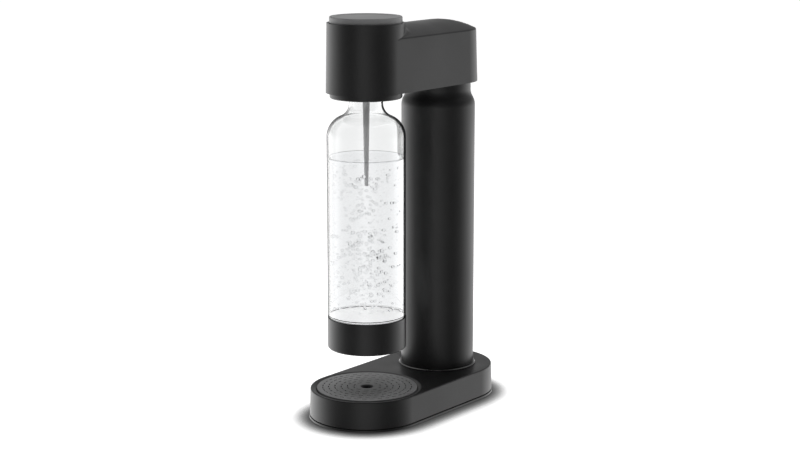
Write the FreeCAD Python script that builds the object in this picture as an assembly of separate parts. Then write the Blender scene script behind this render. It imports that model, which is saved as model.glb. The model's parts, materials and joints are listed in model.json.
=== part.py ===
import FreeCAD, Part

import math
import os

os.makedirs("parts", exist_ok=True)

# Hand-operated soda carbonator: a base, a column with the gas cylinder, an arm and a head with the bottle.
# Millimetres, +Z up, front towards -Y, origin on the floor at the middle of the base.

# ---- Driving dimensions -------------------------------------------------------------------------------

HEIGHT = 415.0            # floor to the top of the button
AXIS_GAP = 121.5          # bottle axis to column axis
HEAD_Y = -AXIS_GAP / 2    # axis of the bottle, head, button and drip tray
COLUMN_Y = AXIS_GAP / 2   # axis of the column and gas cylinder

CLEAR = 0.3               # gap between separate mouldings
RUNNING = 0.08            # radial play of a pin or stem in its hole
SCREW_PLAY = 0.1          # radial play round a screw
PAST = 1.0                # how far a cutting shape runs past the wall it cuts

# base
LIP_RADIUS = 60.1         # widest part of the bottom plate, half the overall width
BASE_FOOT_RADIUS = 59.5
BASE_TOP_RADIUS = 58.8
BASE_TOP = 32.1
BASE_EDGE = 1.2           # rounding of the top edge
BASE_WALL = 2.6
PLATE_BOTTOM = 1.2
PLATE_RIM_TOP = 3.4
PLATE_EDGE = 0.5
PLATE_TOP = 4.4
SHELL_BOTTOM = 3.9
FOOT_RADIUS = 9.0
FOOT_HEIGHT = 2.2
FOOT_EDGE = 0.4

# drip tray
GRILLE_RADIUS = 51.9
GRILLE_TOP = 32.3
GRILLE_THICKNESS = 2.2
GRILLE_HOLE_RADIUS = 6.3
TRAY_RADIUS = 51.0
TRAY_WALL = 1.8
TRAY_CORNER = 1.5
POCKET_DISH_RADIUS = 57.1  # the base slopes down to the grille inside this radius
POCKET_DISH_DEPTH = 1.3
POCKET_RADIUS = 52.4
POCKET_FLOOR = 12.0
POCKET_WALL = 2.0

# column
COLUMN_RADIUS = 39.0
COLUMN_WALL = 2.3
FOOT_RING_RADIUS = 41.5
FOOT_RING_TOP = 33.9
FOOT_RING_EDGE = 0.9
WAIST_START = 314.0
WAIST_END = 331.0
WAIST_RADIUS = 34.35
COVER_HALF_ANGLE = 60.0   # the rear cover spans this much each side of the rear
COVER_BOTTOM = 34.6
COVER_TOP = 375.0

# head and arm
HEAD_BOTTOM = 338.8
HEAD_RIM = 408.6
HEAD_FOOT_RADIUS = 40.57
HEAD_RIM_RADIUS = 39.4
HEAD_WALL = 2.5
HEAD_PROUD = 0.12         # the head stands this much outside the arm's sides
HEAD_RIM_EDGE = 0.6
ARM_BOTTOM = 339.5
ARM_CREST = 404.0         # the middle of the arm's arched top
ARM_FOOT_RADIUS = 41.4    # rear end, at the underside
ARM_TIP_RADIUS = 39.2     # both ends, if the sides went on up to the height of the head's rim
ARM_ARCH = 86.9           # radius of the arched top, and of the dome over the rear end
ARM_BEVEL_RADIUS = 39.6   # a 45 degree bevel between the sides and the arched top starts here
ARM_BEVEL_BOTTOM = 394.0
UNDERSIDE_TOP = 341.8
COLLAR_RADIUS = 36.6
COLLAR_SPIGOT_RADIUS = 35.2
COLLAR_BOTTOM = 333.2
COLLAR_TOP = 339.2
COLLAR_EDGE = 1.5
COLLAR_BORE = 21.0

# button
BUTTON_RADIUS = 36.7
BUTTON_BORE = 37.1
BUTTON_BORE_BOTTOM = 398.0
BUTTON_WALL = 2.0
BUTTON_SKIN = 2.4
BUTTON_SKIRT_BOTTOM = 404.0
BUTTON_STEM_RADIUS = 6.0

# bottle
BOTTLE_RADIUS = 40.0
BOTTLE_WALL = 1.3
CUP_RADIUS = 40.4
CUP_BOTTOM = 75.0
CUP_TOP = 108.0
CUP_CORNER = 2.2
CUP_FLOOR = 2.2
SHOULDER_START = 294.0
SHOULDER_ARC = 22.5       # convex part of the shoulder
THROAT_ARC = 14.0         # concave part, into the neck
NECK_RADIUS = 17.1
MOUTH = 352.0

# gas cylinder: a standard 60 mm by 357 mm exchange cylinder with a Tr21x4 valve
GAS_RADIUS = 30.0
GAS_BOTTOM = 14.0
GAS_WALL = 3.0
GAS_SHOULDER = 306.0
GAS_NECK_TOP = 338.0
VALVE_TOP = 371.0
VALVE_THREAD_RADIUS = 10.5
VALVE_THREAD_BOTTOM = 358.0
VALVE_PIN_GAP = 0.2       # the plunger and the valve pin stop this far each side of the valve's top

# mechanism
LEVER_PIVOT_Y = COLUMN_Y + 22.0
LEVER_PIVOT_Z = 389.0
LEVER_BOTTOM = 385.3
LEVER_TOP = 392.5
LEVER_HALF_WIDTH = 6.0
LEVER_PIN_RADIUS = 2.0
FRAME_BOTTOM = 372.0
FRAME_TOP = 376.0
FRAME_HALF_WIDTH = 28.0
BLOCK_RADIUS = 16.0
BLOCK_BOTTOM = 362.5
BLOCK_TOP = 381.0
PLUNGER_RADIUS = 2.0
SOCKET_RADIUS = 23.5
SOCKET_BORE = 18.6
SOCKET_CEILING = 354.0
NOZZLE_TIP = 243.4
NOZZLE_RADIUS = 3.6
NOZZLE_TIP_RADIUS = 1.9
NOZZLE_TOP = 360.0
GUIDE_BOTTOM = 394.5
GUIDE_TOP = 396.5
GUIDE_RADIUS = 36.2
GAS_PORT_RADIUS = 1.2
TUBE_RADIUS = 2.0


# ---- Shape helpers ------------------------------------------------------------------------------------

def point(x, y, z):
    return FreeCAD.Vector(x, y, z)


def disc(radius, bottom, top, y=0.0, x=0.0):
    return Part.makeCylinder(radius, top - bottom, point(x, y, bottom))


def tube(outer, inner, bottom, top, y=0.0, x=0.0):
    return disc(outer, bottom, top, y, x).cut(disc(inner, bottom, top, y, x))


def box(x0, x1, y0, y1, z0, z1):
    return Part.makeBox(x1 - x0, y1 - y0, z1 - z0, point(x0, y0, z0))


def rod(radius, start, end):
    """A round bar from one point to another."""
    along = end - start
    return Part.makeCylinder(radius, along.Length, start, along)


def lathe(spans, y=0.0, x=0.0):
    """Turn a closed outline about a vertical axis. Each span is a list of (radius, z) points:
    two points make a line, three make an arc, and each span starts where the last one ended."""
    edges = []
    for span in spans:
        corners = [point(radius, 0, z) for radius, z in span]
        if len(corners) == 2:
            edges.append(Part.LineSegment(corners[0], corners[1]).toShape())
        else:
            edges.append(Part.Arc(corners[0], corners[1], corners[2]).toShape())
    face = Part.Face(Part.Wire(edges))
    solid = face.revolve(point(0, 0, 0), point(0, 0, 1), 360)
    solid.translate(point(x, y, 0))
    return solid


def polyline(points):
    return [[start, end] for start, end in zip(points, points[1:])]


def turned(points, y=0.0, x=0.0):
    """A lathe outline made of straight lines only, closed back to its first point."""
    return lathe(polyline(points + points[:1]), y, x)


def arc_between(start, end, radius, bulge):
    """A three-point arc span; bulge is +1 or -1 for the side of the chord that it swells to."""
    middle_r = (start[0] + end[0]) / 2
    middle_z = (start[1] + end[1]) / 2
    chord_r = end[0] - start[0]
    chord_z = end[1] - start[1]
    chord = math.hypot(chord_r, chord_z)
    sagitta = radius - math.sqrt(radius ** 2 - chord ** 2 / 4)
    top = (middle_r + bulge * sagitta * chord_z / chord, middle_z - bulge * sagitta * chord_r / chord)
    return [start, top, end]


def s_curve(start, end, inward=0.0):
    """Two equal arcs that step a vertical wall from one radius to another, moved inward by a wall."""
    step = abs(end[0] - start[0])
    rise = abs(end[1] - start[1])
    radius = (rise ** 2 + step ** 2) / (4 * step)
    lower = (start[0] - inward, start[1])
    upper = (end[0] - inward, end[1])
    halfway = ((lower[0] + upper[0]) / 2, (lower[1] + upper[1]) / 2)
    return [arc_between(lower, halfway, radius, 1), arc_between(halfway, upper, radius, -1)]


def stadium_wire(front_radius, rear_radius, z):
    """A long round-ended outline about the bottle axis and the column axis."""
    lean = math.asin((rear_radius - front_radius) / AXIS_GAP)
    side = math.cos(lean)
    ahead = -math.sin(lean)
    front_right = point(front_radius * side, HEAD_Y + front_radius * ahead, z)
    rear_right = point(rear_radius * side, COLUMN_Y + rear_radius * ahead, z)
    front_left = point(-front_right.x, front_right.y, z)
    rear_left = point(-rear_right.x, rear_right.y, z)
    front_arc = Part.Arc(front_left, point(0, HEAD_Y - front_radius, z), front_right)
    rear_arc = Part.Arc(rear_right, point(0, COLUMN_Y + rear_radius, z), rear_left)
    right_side = Part.LineSegment(front_right, rear_right)
    left_side = Part.LineSegment(rear_left, front_left)
    return Part.Wire([span.toShape() for span in (front_arc, right_side, rear_arc, left_side)])


def stadium(bottom, bottom_radii, top, top_radii):
    wires = [stadium_wire(*bottom_radii, bottom), stadium_wire(*top_radii, top)]
    return Part.makeLoft(wires, True, True)


def even_stadium(radius, bottom, top):
    return Part.Face(stadium_wire(radius, radius, bottom)).extrude(point(0, 0, top - bottom))


def arched(solid, inward):
    """Cut a tall solid to the arm's arch, with a dome behind the column axis, moved inward by a wall."""
    radius = ARM_ARCH - inward
    centre_z = ARM_CREST - ARM_ARCH
    arch = rod(radius, point(0, HEAD_Y - AXIS_GAP, centre_z), point(0, COLUMN_Y, centre_z))
    dome = Part.makeSphere(radius, point(0, COLUMN_Y, centre_z))
    behind = box(-AXIS_GAP, AXIS_GAP, COLUMN_Y, COLUMN_Y + AXIS_GAP, 0, 2 * HEIGHT)
    return solid.common(arch).fuse(solid.common(dome.common(behind)))


def round_top_edges(solid, z, radius):
    """Round every edge that lies wholly at height z."""
    edges = []
    for edge in solid.Edges:
        heights = (edge.BoundBox.ZMin, edge.BoundBox.ZMax)
        if max(abs(height - z) for height in heights) < 0.01:
            edges.append(edge)
    return solid.makeFillet(radius, edges)


def rear_wedge(apex_shift, bottom, top):
    """The space behind the column axis that the rear cover fills, as a tall three-cornered block."""
    reach = 4 * COLUMN_RADIUS
    spread = math.radians(COVER_HALF_ANGLE)
    apex_y = COLUMN_Y + apex_shift / math.sin(spread)
    corners = [
        point(0, apex_y, bottom),
        point(reach * math.sin(spread), apex_y + reach * math.cos(spread), bottom),
        point(-reach * math.sin(spread), apex_y + reach * math.cos(spread), bottom),
    ]
    face = Part.Face(Part.makePolygon(corners + corners[:1]))
    return face.extrude(point(0, 0, top - bottom))


def spring(mean_radius, wire_radius, bottom, top, turns, y, x=0.0):
    """A helical spring whose wire stays inside the heights given."""
    rise = top - bottom - 2 * wire_radius
    helix = Part.makeHelix(rise / turns, rise, mean_radius)
    ring = Part.Circle(point(mean_radius, 0, 0), point(0, 1, 0), wire_radius)
    section = Part.Wire(ring.toShape())
    coil = Part.Wire(helix).makePipeShell([section], True, True)
    coil.translate(point(x, y, bottom + wire_radius))
    return coil


def screw(x, y, seat, length, radius, head_radius, head_height, direction):
    """A pan-head screw: seat is where the head bears, and direction is the way its head points."""
    seat_point = point(x, y, seat)
    head = rod(head_radius, seat_point, point(x, y, seat + direction * head_height))
    shank = rod(radius, seat_point, point(x, y, seat - direction * length))
    return head.fuse(shank)


def join(shapes):
    result = shapes[0]
    for shape in shapes[1:]:
        result = result.fuse(shape)
    return result.removeSplitter()


def cut_all(shape, tools):
    for tool in tools:
        shape = shape.cut(tool)
    return shape


def save(name, shape):
    shape.exportStep("parts/" + name + ".step")


# ---- Base ---------------------------------------------------------------------------------------------

BASE_SCREW_RADIUS = 1.5
BASE_SCREW_SEAT = 2.6
BASE_SCREW_LENGTH = 7.0
BASE_SCREW_HEAD_RADIUS = 3.1
BASE_SCREW_HEAD_HEIGHT = 1.2
BASE_BOSS_RADIUS = 4.0
BASE_SCREW_PLACES = [
    (-32.0, HEAD_Y - 20.0), (32.0, HEAD_Y - 20.0),
    (-50.0, 0.0), (50.0, 0.0),
    (-40.0, COLUMN_Y + 20.0), (40.0, COLUMN_Y + 20.0),
]
FOOT_PLACES = [
    (-30.0, HEAD_Y - 36.0), (30.0, HEAD_Y - 36.0),
    (-30.0, COLUMN_Y + 38.0), (30.0, COLUMN_Y + 38.0),
]
CRADLE_OUTER = 36.0
CRADLE_INNER = 31.0
CRADLE_TOP = 20.0
CRADLE_FUNNEL = 1.5
COLUMN_OPENING = 36.6


def base_shell():
    outer = stadium(SHELL_BOTTOM, (BASE_FOOT_RADIUS,) * 2, BASE_TOP, (BASE_TOP_RADIUS,) * 2)
    outer = round_top_edges(outer, BASE_TOP, BASE_EDGE)
    inside = even_stadium(BASE_TOP_RADIUS - BASE_WALL, SHELL_BOTTOM - PAST, BASE_TOP - BASE_WALL)
    dish_bottom = BASE_TOP - POCKET_DISH_DEPTH
    pocket_wall = disc(POCKET_RADIUS + POCKET_WALL, POCKET_FLOOR - POCKET_WALL, dish_bottom - CLEAR, HEAD_Y)
    dish = turned([
        (0, dish_bottom), (POCKET_RADIUS, dish_bottom), (POCKET_DISH_RADIUS, BASE_TOP),
        (POCKET_DISH_RADIUS, BASE_TOP + PAST), (0, BASE_TOP + PAST),
    ], HEAD_Y)
    shell = outer.cut(inside).fuse(pocket_wall)
    for x, y in BASE_SCREW_PLACES:
        under = POCKET_FLOOR if y < HEAD_Y else BASE_TOP
        shell = shell.fuse(disc(BASE_BOSS_RADIUS, PLATE_TOP + SCREW_PLAY, under - BASE_WALL / 2, y, x))
    shell = shell.cut(dish)
    shell = shell.cut(disc(POCKET_RADIUS, POCKET_FLOOR, BASE_TOP + PAST, HEAD_Y))
    shell = shell.cut(disc(COLUMN_OPENING, BASE_TOP - BASE_WALL - PAST, BASE_TOP + PAST, COLUMN_Y))
    for x, y in BASE_SCREW_PLACES:
        depth = BASE_SCREW_SEAT + BASE_SCREW_LENGTH + CLEAR
        shell = shell.cut(disc(BASE_SCREW_RADIUS + SCREW_PLAY, SHELL_BOTTOM - PAST, depth, y, x))
    return shell


def base_plate():
    rim = even_stadium(LIP_RADIUS, PLATE_BOTTOM, PLATE_RIM_TOP)
    rim = round_top_edges(rim, PLATE_RIM_TOP, PLATE_EDGE)
    raised = even_stadium(BASE_TOP_RADIUS - BASE_WALL - CLEAR, PLATE_RIM_TOP - PAST, PLATE_TOP)
    plate = rim.fuse(raised)
    bottom = PLATE_BOTTOM - PAST
    for x, y in BASE_SCREW_PLACES:
        plate = plate.cut(disc(BASE_SCREW_RADIUS + SCREW_PLAY, bottom, PLATE_TOP + PAST, y, x))
        plate = plate.cut(disc(BASE_SCREW_HEAD_RADIUS + CLEAR, bottom, BASE_SCREW_SEAT, y, x))
    for x, y in FOOT_PLACES:
        plate = plate.cut(disc(FOOT_RADIUS + SCREW_PLAY, bottom, FOOT_HEIGHT, y, x))
    return plate


def rubber_feet():
    feet = [disc(FOOT_RADIUS, 0, FOOT_HEIGHT, y, x) for x, y in FOOT_PLACES]
    feet = [foot.makeFillet(FOOT_EDGE, [foot.Edges[2]]) for foot in feet]
    return Part.Compound(feet)


def base_screws():
    screws = []
    for x, y in BASE_SCREW_PLACES:
        screws.append(screw(x, y, BASE_SCREW_SEAT, BASE_SCREW_LENGTH, BASE_SCREW_RADIUS,
                            BASE_SCREW_HEAD_RADIUS, BASE_SCREW_HEAD_HEIGHT, -1))
    return Part.Compound(screws)


def cylinder_cradle():
    """A ring on the base plate that centres the foot of the gas cylinder."""
    return turned([
        (CRADLE_INNER, PLATE_TOP), (CRADLE_OUTER, PLATE_TOP), (CRADLE_OUTER, CRADLE_TOP),
        (CRADLE_INNER + CRADLE_FUNNEL, CRADLE_TOP), (CRADLE_INNER, CRADLE_TOP - 2 * CRADLE_FUNNEL),
    ], COLUMN_Y)


def drip_tray():
    bottom = POCKET_FLOOR
    top = GRILLE_TOP - GRILLE_THICKNESS
    inner = TRAY_RADIUS - TRAY_WALL
    floor = bottom + TRAY_WALL
    return turned([
        (0, bottom), (TRAY_RADIUS - TRAY_CORNER, bottom), (TRAY_RADIUS, bottom + TRAY_CORNER),
        (TRAY_RADIUS, top), (inner, top), (inner, floor + TRAY_CORNER / 2),
        (inner - TRAY_CORNER / 2, floor), (0, floor),
    ], HEAD_Y)


SLOT_ROWS = [(14.0, 10), (20.5, 16), (27.0, 22), (33.5, 26), (40.0, 32), (46.0, 36)]
SLOT_LENGTH = 4.6
SLOT_WIDTH = 1.1
GRILLE_SKIRT_WALL = 1.2
GRILLE_SKIRT_DEPTH = 2.5
GRILLE_EDGE = 0.4
GRILLE_HOLE_EDGE = 0.6


def drip_grille():
    """A thin disc with a drain hole in the middle and rings of short drain slots."""
    bottom = GRILLE_TOP - GRILLE_THICKNESS
    skirt = TRAY_RADIUS - TRAY_WALL - CLEAR
    skirt_inner = skirt - GRILLE_SKIRT_WALL
    skirt_bottom = bottom - GRILLE_SKIRT_DEPTH
    grille = turned([
        (GRILLE_HOLE_RADIUS, bottom), (skirt_inner, bottom), (skirt_inner, skirt_bottom),
        (skirt, skirt_bottom), (skirt, bottom), (GRILLE_RADIUS, bottom),
        (GRILLE_RADIUS, GRILLE_TOP - GRILLE_EDGE), (GRILLE_RADIUS - GRILLE_EDGE, GRILLE_TOP),
        (GRILLE_HOLE_RADIUS + GRILLE_HOLE_EDGE, GRILLE_TOP),
        (GRILLE_HOLE_RADIUS, GRILLE_TOP - GRILLE_HOLE_EDGE),
    ], HEAD_Y)
    slots = []
    for row_radius, count in SLOT_ROWS:
        for index in range(count):
            slot = box(row_radius - SLOT_WIDTH / 2, row_radius + SLOT_WIDTH / 2,
                       -SLOT_LENGTH / 2, SLOT_LENGTH / 2, bottom - PAST, GRILLE_TOP + PAST)
            slot.rotate(point(0, 0, 0), point(0, 0, 1), 360 * (index + 0.5) / count)
            slot.translate(point(0, HEAD_Y, 0))
            slots.append(slot)
    return grille.cut(Part.Compound(slots))


# ---- Column -------------------------------------------------------------------------------------------

SPINE_INNER = 32.4
SPINE_OUTER = 35.4
SPINE_NECK_INNER = 29.6
SPINE_NECK_OUTER = 31.6
SPINE_STEP = 316.0
SPINE_LEDGE = 3.0
SPINE_HALF_ANGLE = 55.0
TUBE_NOTCH_HALF_WIDTH = 5.0
TUBE_NOTCH_DEPTH = 9.0
CLIP_HEIGHTS = [120.0, 240.0]
CLIP_HEIGHT = 14.0
CLIP_WIDTH = 5.0
CLIP_THICKNESS = 1.2
CLIP_ANGLE = COVER_HALF_ANGLE - 3.0


def column_outline():
    """The column wall: outside up to the arm, and back down the inside."""
    outer_start = (COLUMN_RADIUS, WAIST_START)
    outer_end = (WAIST_RADIUS, WAIST_END)
    outside = s_curve(outer_start, outer_end)
    inside = [span[::-1] for span in reversed(s_curve(outer_start, outer_end, COLUMN_WALL))]
    return outside, inside


def column_shell():
    inner_foot = (COLUMN_RADIUS - COLUMN_WALL, FOOT_RING_TOP)
    outside, inside = column_outline()
    spans = [[inner_foot, (COLUMN_RADIUS, FOOT_RING_TOP)],
             [(COLUMN_RADIUS, FOOT_RING_TOP), outside[0][0]]]
    spans += outside
    spans += polyline([outside[-1][-1], (WAIST_RADIUS, ARM_BOTTOM),
                       (WAIST_RADIUS - COLUMN_WALL, ARM_BOTTOM), inside[0][0]])
    spans += inside
    spans.append([inside[-1][-1], inner_foot])
    return lathe(spans, COLUMN_Y).cut(rear_wedge(0, COVER_BOTTOM - CLEAR, HEIGHT))


def arm_rear_radius(z):
    """Outside radius of the arm's rear end at a height below its arched top."""
    share = (z - ARM_BOTTOM) / (HEAD_RIM - ARM_BOTTOM)
    return ARM_FOOT_RADIUS + share * (ARM_TIP_RADIUS - ARM_FOOT_RADIUS)


def rear_cover():
    """One removable moulding: the back of the column, of its waist and of the arm's rear end."""
    top_radius = arm_rear_radius(COVER_TOP)
    foot_radius = ARM_FOOT_RADIUS
    inner_foot = (COLUMN_RADIUS - COLUMN_WALL, COVER_BOTTOM)
    outside, inside = column_outline()
    spans = [[inner_foot, (COLUMN_RADIUS, COVER_BOTTOM)],
             [(COLUMN_RADIUS, COVER_BOTTOM), outside[0][0]]]
    spans += outside
    spans += polyline([
        outside[-1][-1], (WAIST_RADIUS, ARM_BOTTOM), (foot_radius, ARM_BOTTOM), (top_radius, COVER_TOP),
        (top_radius - HEAD_WALL, COVER_TOP), (foot_radius - HEAD_WALL, UNDERSIDE_TOP),
        (WAIST_RADIUS - COLUMN_WALL, UNDERSIDE_TOP), inside[0][0],
    ])
    spans += inside
    spans.append([inside[-1][-1], inner_foot])
    return lathe(spans, COLUMN_Y).common(rear_wedge(CLEAR, COVER_BOTTOM - PAST, HEIGHT))


def cover_clips():
    """Spring clips inside the edges of the rear cover, reaching past the seam behind the column shell."""
    outer = COLUMN_RADIUS - COLUMN_WALL - SCREW_PLAY
    clips = []
    for z in CLIP_HEIGHTS:
        for side in (-1, 1):
            band = tube(outer, outer - CLIP_THICKNESS, z, z + CLIP_HEIGHT, COLUMN_Y)
            keep = box(-CLIP_WIDTH / 2, CLIP_WIDTH / 2, 0, 2 * COLUMN_RADIUS,
                       z - PAST, z + CLIP_HEIGHT + PAST)
            keep.rotate(point(0, 0, 0), point(0, 0, 1), side * CLIP_ANGLE)
            keep.translate(point(0, COLUMN_Y, 0))
            clips.append(band.common(keep))
    return Part.Compound(clips)


def column_foot_ring():
    return turned([
        (COLUMN_OPENING, BASE_TOP), (FOOT_RING_RADIUS, BASE_TOP),
        (FOOT_RING_RADIUS, FOOT_RING_TOP - FOOT_RING_EDGE),
        (FOOT_RING_RADIUS - FOOT_RING_EDGE, FOOT_RING_TOP), (COLUMN_OPENING, FOOT_RING_TOP),
    ], COLUMN_Y)


def front_sector(half_angle, bottom, top):
    """The space in front of the column axis, half_angle each side of the front."""
    reach = 4 * COLUMN_RADIUS
    spread = math.radians(half_angle)
    corners = [
        point(0, COLUMN_Y, bottom),
        point(reach * math.sin(spread), COLUMN_Y - reach * math.cos(spread), bottom),
        point(-reach * math.sin(spread), COLUMN_Y - reach * math.cos(spread), bottom),
    ]
    face = Part.Face(Part.makePolygon(corners + corners[:1]))
    return face.extrude(point(0, 0, top - bottom))


def spine():
    """The upright that carries the arm frame: a curved channel in front of the gas cylinder."""
    ledge_top = SPINE_STEP + SPINE_LEDGE
    full = turned([
        (SPINE_INNER, CRADLE_TOP), (SPINE_OUTER, CRADLE_TOP), (SPINE_OUTER, ledge_top),
        (SPINE_NECK_OUTER, ledge_top), (SPINE_NECK_OUTER, FRAME_BOTTOM),
        (SPINE_NECK_INNER, FRAME_BOTTOM), (SPINE_NECK_INNER, SPINE_STEP), (SPINE_INNER, SPINE_STEP),
    ], COLUMN_Y)
    channel = full.common(front_sector(SPINE_HALF_ANGLE, CRADLE_TOP, FRAME_BOTTOM))
    tube_notch = box(-TUBE_NOTCH_HALF_WIDTH, TUBE_NOTCH_HALF_WIDTH, COLUMN_Y - COLUMN_RADIUS, COLUMN_Y,
                     FRAME_BOTTOM - TUBE_NOTCH_DEPTH, FRAME_BOTTOM + PAST)
    return channel.cut(tube_notch)


# ---- Head and arm -------------------------------------------------------------------------------------

BOSS_RADIUS = 3.2
BOSS_OFFSET = 34.8
BOSS_LENGTH = 14.0
GUIDE_SCREW_RADIUS = 1.2
GUIDE_SCREW_LENGTH = 8.0
GUIDE_SCREW_HEAD_RADIUS = 1.5
GUIDE_SCREW_HEAD_HEIGHT = 1.4
GUIDE_SCREW_PLACES = [(-BOSS_OFFSET, HEAD_Y), (BOSS_OFFSET, HEAD_Y), (0.0, HEAD_Y - BOSS_OFFSET)]
UNDERSIDE_BOSS_RADIUS = 3.4
UNDERSIDE_SCREW_RADIUS = 1.3
UNDERSIDE_SCREW_LENGTH = 8.0
UNDERSIDE_SCREW_HEAD_RADIUS = 2.5
UNDERSIDE_SCREW_HEAD_HEIGHT = 1.1
UNDERSIDE_SCREW_SEAT = ARM_BOTTOM + 1.2
UNDERSIDE_SCREW_PLACES = [(-34.5, -18.0), (34.5, -18.0), (-34.5, 18.0), (34.5, 18.0)]
RELIEF_X = 17.0


def head_shell():
    """The head and the arm's top and sides, one moulding that is open underneath and at the rear."""
    sides = stadium(ARM_BOTTOM, (HEAD_FOOT_RADIUS, ARM_FOOT_RADIUS), HEAD_RIM, (ARM_TIP_RADIUS,) * 2)
    bevel_foot = ARM_BEVEL_RADIUS + ARM_BEVEL_BOTTOM - ARM_BOTTOM
    bevel_tip = ARM_BEVEL_RADIUS + ARM_BEVEL_BOTTOM - HEAD_RIM
    bevel = stadium(ARM_BOTTOM, (bevel_foot,) * 2, HEAD_RIM, (bevel_tip,) * 2)
    arm = arched(sides.common(bevel), 0)
    head = Part.makeCone(HEAD_FOOT_RADIUS + HEAD_PROUD, HEAD_RIM_RADIUS + HEAD_PROUD, HEAD_RIM - HEAD_BOTTOM,
                         point(0, HEAD_Y, HEAD_BOTTOM))
    head = round_top_edges(head, HEAD_RIM, HEAD_RIM_EDGE)
    arm_hollow = arched(even_stadium(HEAD_RIM_RADIUS - HEAD_WALL, ARM_BOTTOM - PAST, HEAD_RIM), HEAD_WALL)
    head_hollow = disc(BUTTON_BORE - SCREW_PLAY, HEAD_BOTTOM - PAST, BUTTON_BORE_BOTTOM + PAST, HEAD_Y)
    foot_radii = (HEAD_FOOT_RADIUS - HEAD_WALL, ARM_FOOT_RADIUS - HEAD_WALL)
    wide_foot = stadium(ARM_BOTTOM - PAST, foot_radii, UNDERSIDE_TOP + SCREW_PLAY, foot_radii)
    button_bore = disc(BUTTON_BORE, BUTTON_BORE_BOTTOM, HEAD_RIM + PAST, HEAD_Y)
    shell = cut_all(arm.fuse(head), [arm_hollow, head_hollow, wide_foot, button_bore])
    for x, y in GUIDE_SCREW_PLACES:
        boss_bottom = GUIDE_BOTTOM - BOSS_LENGTH
        boss = disc(BOSS_RADIUS, boss_bottom, GUIDE_BOTTOM, y, x)
        hole = disc(GUIDE_SCREW_RADIUS + SCREW_PLAY, boss_bottom - PAST, GUIDE_BOTTOM + PAST, y, x)
        shell = shell.fuse(boss).cut(hole)
    for x, y in UNDERSIDE_SCREW_PLACES:
        boss = disc(UNDERSIDE_BOSS_RADIUS, UNDERSIDE_TOP + CLEAR, UNDERSIDE_TOP + BOSS_LENGTH, y, x)
        hole_top = UNDERSIDE_SCREW_SEAT + UNDERSIDE_SCREW_LENGTH + PAST
        hole = disc(UNDERSIDE_SCREW_RADIUS + SCREW_PLAY, UNDERSIDE_TOP, hole_top, y, x)
        shell = shell.fuse(boss).cut(hole)
    return shell.cut(rear_wedge(0, ARM_BOTTOM - PAST, COVER_TOP + CLEAR))


def arm_underside():
    """The plate that closes the arm from below, with openings for the collar and the column."""
    radii = (HEAD_FOOT_RADIUS - HEAD_WALL - SCREW_PLAY, ARM_FOOT_RADIUS - HEAD_WALL - SCREW_PLAY)
    low = ARM_BOTTOM - PAST
    high = UNDERSIDE_TOP + PAST
    plate = stadium(ARM_BOTTOM, radii, UNDERSIDE_TOP, radii)
    plate = plate.cut(disc(COLLAR_SPIGOT_RADIUS + CLEAR, low, high, HEAD_Y))
    plate = plate.cut(disc(WAIST_RADIUS - COLUMN_WALL, low, high, COLUMN_Y))
    for x, y in UNDERSIDE_SCREW_PLACES:
        plate = plate.cut(disc(UNDERSIDE_SCREW_RADIUS + SCREW_PLAY, low, high, y, x))
        plate = plate.cut(disc(UNDERSIDE_SCREW_HEAD_RADIUS + CLEAR, low, UNDERSIDE_SCREW_SEAT, y, x))
    return plate.cut(rear_wedge(0, low, COVER_TOP))


def underside_screws():
    screws = []
    for x, y in UNDERSIDE_SCREW_PLACES:
        screws.append(screw(x, y, UNDERSIDE_SCREW_SEAT, UNDERSIDE_SCREW_LENGTH, UNDERSIDE_SCREW_RADIUS,
                            UNDERSIDE_SCREW_HEAD_RADIUS, UNDERSIDE_SCREW_HEAD_HEIGHT, -1))
    return Part.Compound(screws)


def head_collar():
    """The stepped ring under the head that the bottle's neck goes up through."""
    edge_start = (COLLAR_RADIUS - COLLAR_EDGE, COLLAR_BOTTOM)
    edge_end = (COLLAR_RADIUS, COLLAR_BOTTOM + COLLAR_EDGE)
    spans = [[(COLLAR_BORE, COLLAR_BOTTOM), edge_start], arc_between(edge_start, edge_end, COLLAR_EDGE, 1)]
    spans += polyline([
        edge_end, (COLLAR_RADIUS, COLLAR_TOP), (COLLAR_SPIGOT_RADIUS, COLLAR_TOP),
        (COLLAR_SPIGOT_RADIUS, UNDERSIDE_TOP), (COLLAR_BORE, UNDERSIDE_TOP), (COLLAR_BORE, COLLAR_BOTTOM),
    ])
    return lathe(spans, HEAD_Y)


FLANGE_RADIUS = 34.0
FLANGE_TOP = 345.2
PORT_Z = 364.0
RELIEF_BODY_RADIUS = 6.5
RELIEF_SEAT_TOP = 376.0
RELIEF_BORE = 4.2
RELIEF_BODY_TOP = 390.0
RELIEF_CAP_TOP = 392.0
RELIEF_CAP_DEPTH = 2.0
RELIEF_VENT_RADIUS = 1.0
RELIEF_CROSS_Z = SOCKET_CEILING + 4.0
FITTING_RADIUS = 4.5
FITTING_LENGTH = 7.0
SEAL_BORE = 9.5
PRESS_FIT = 0.05          # radial gap of parts pressed or screwed together


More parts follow.
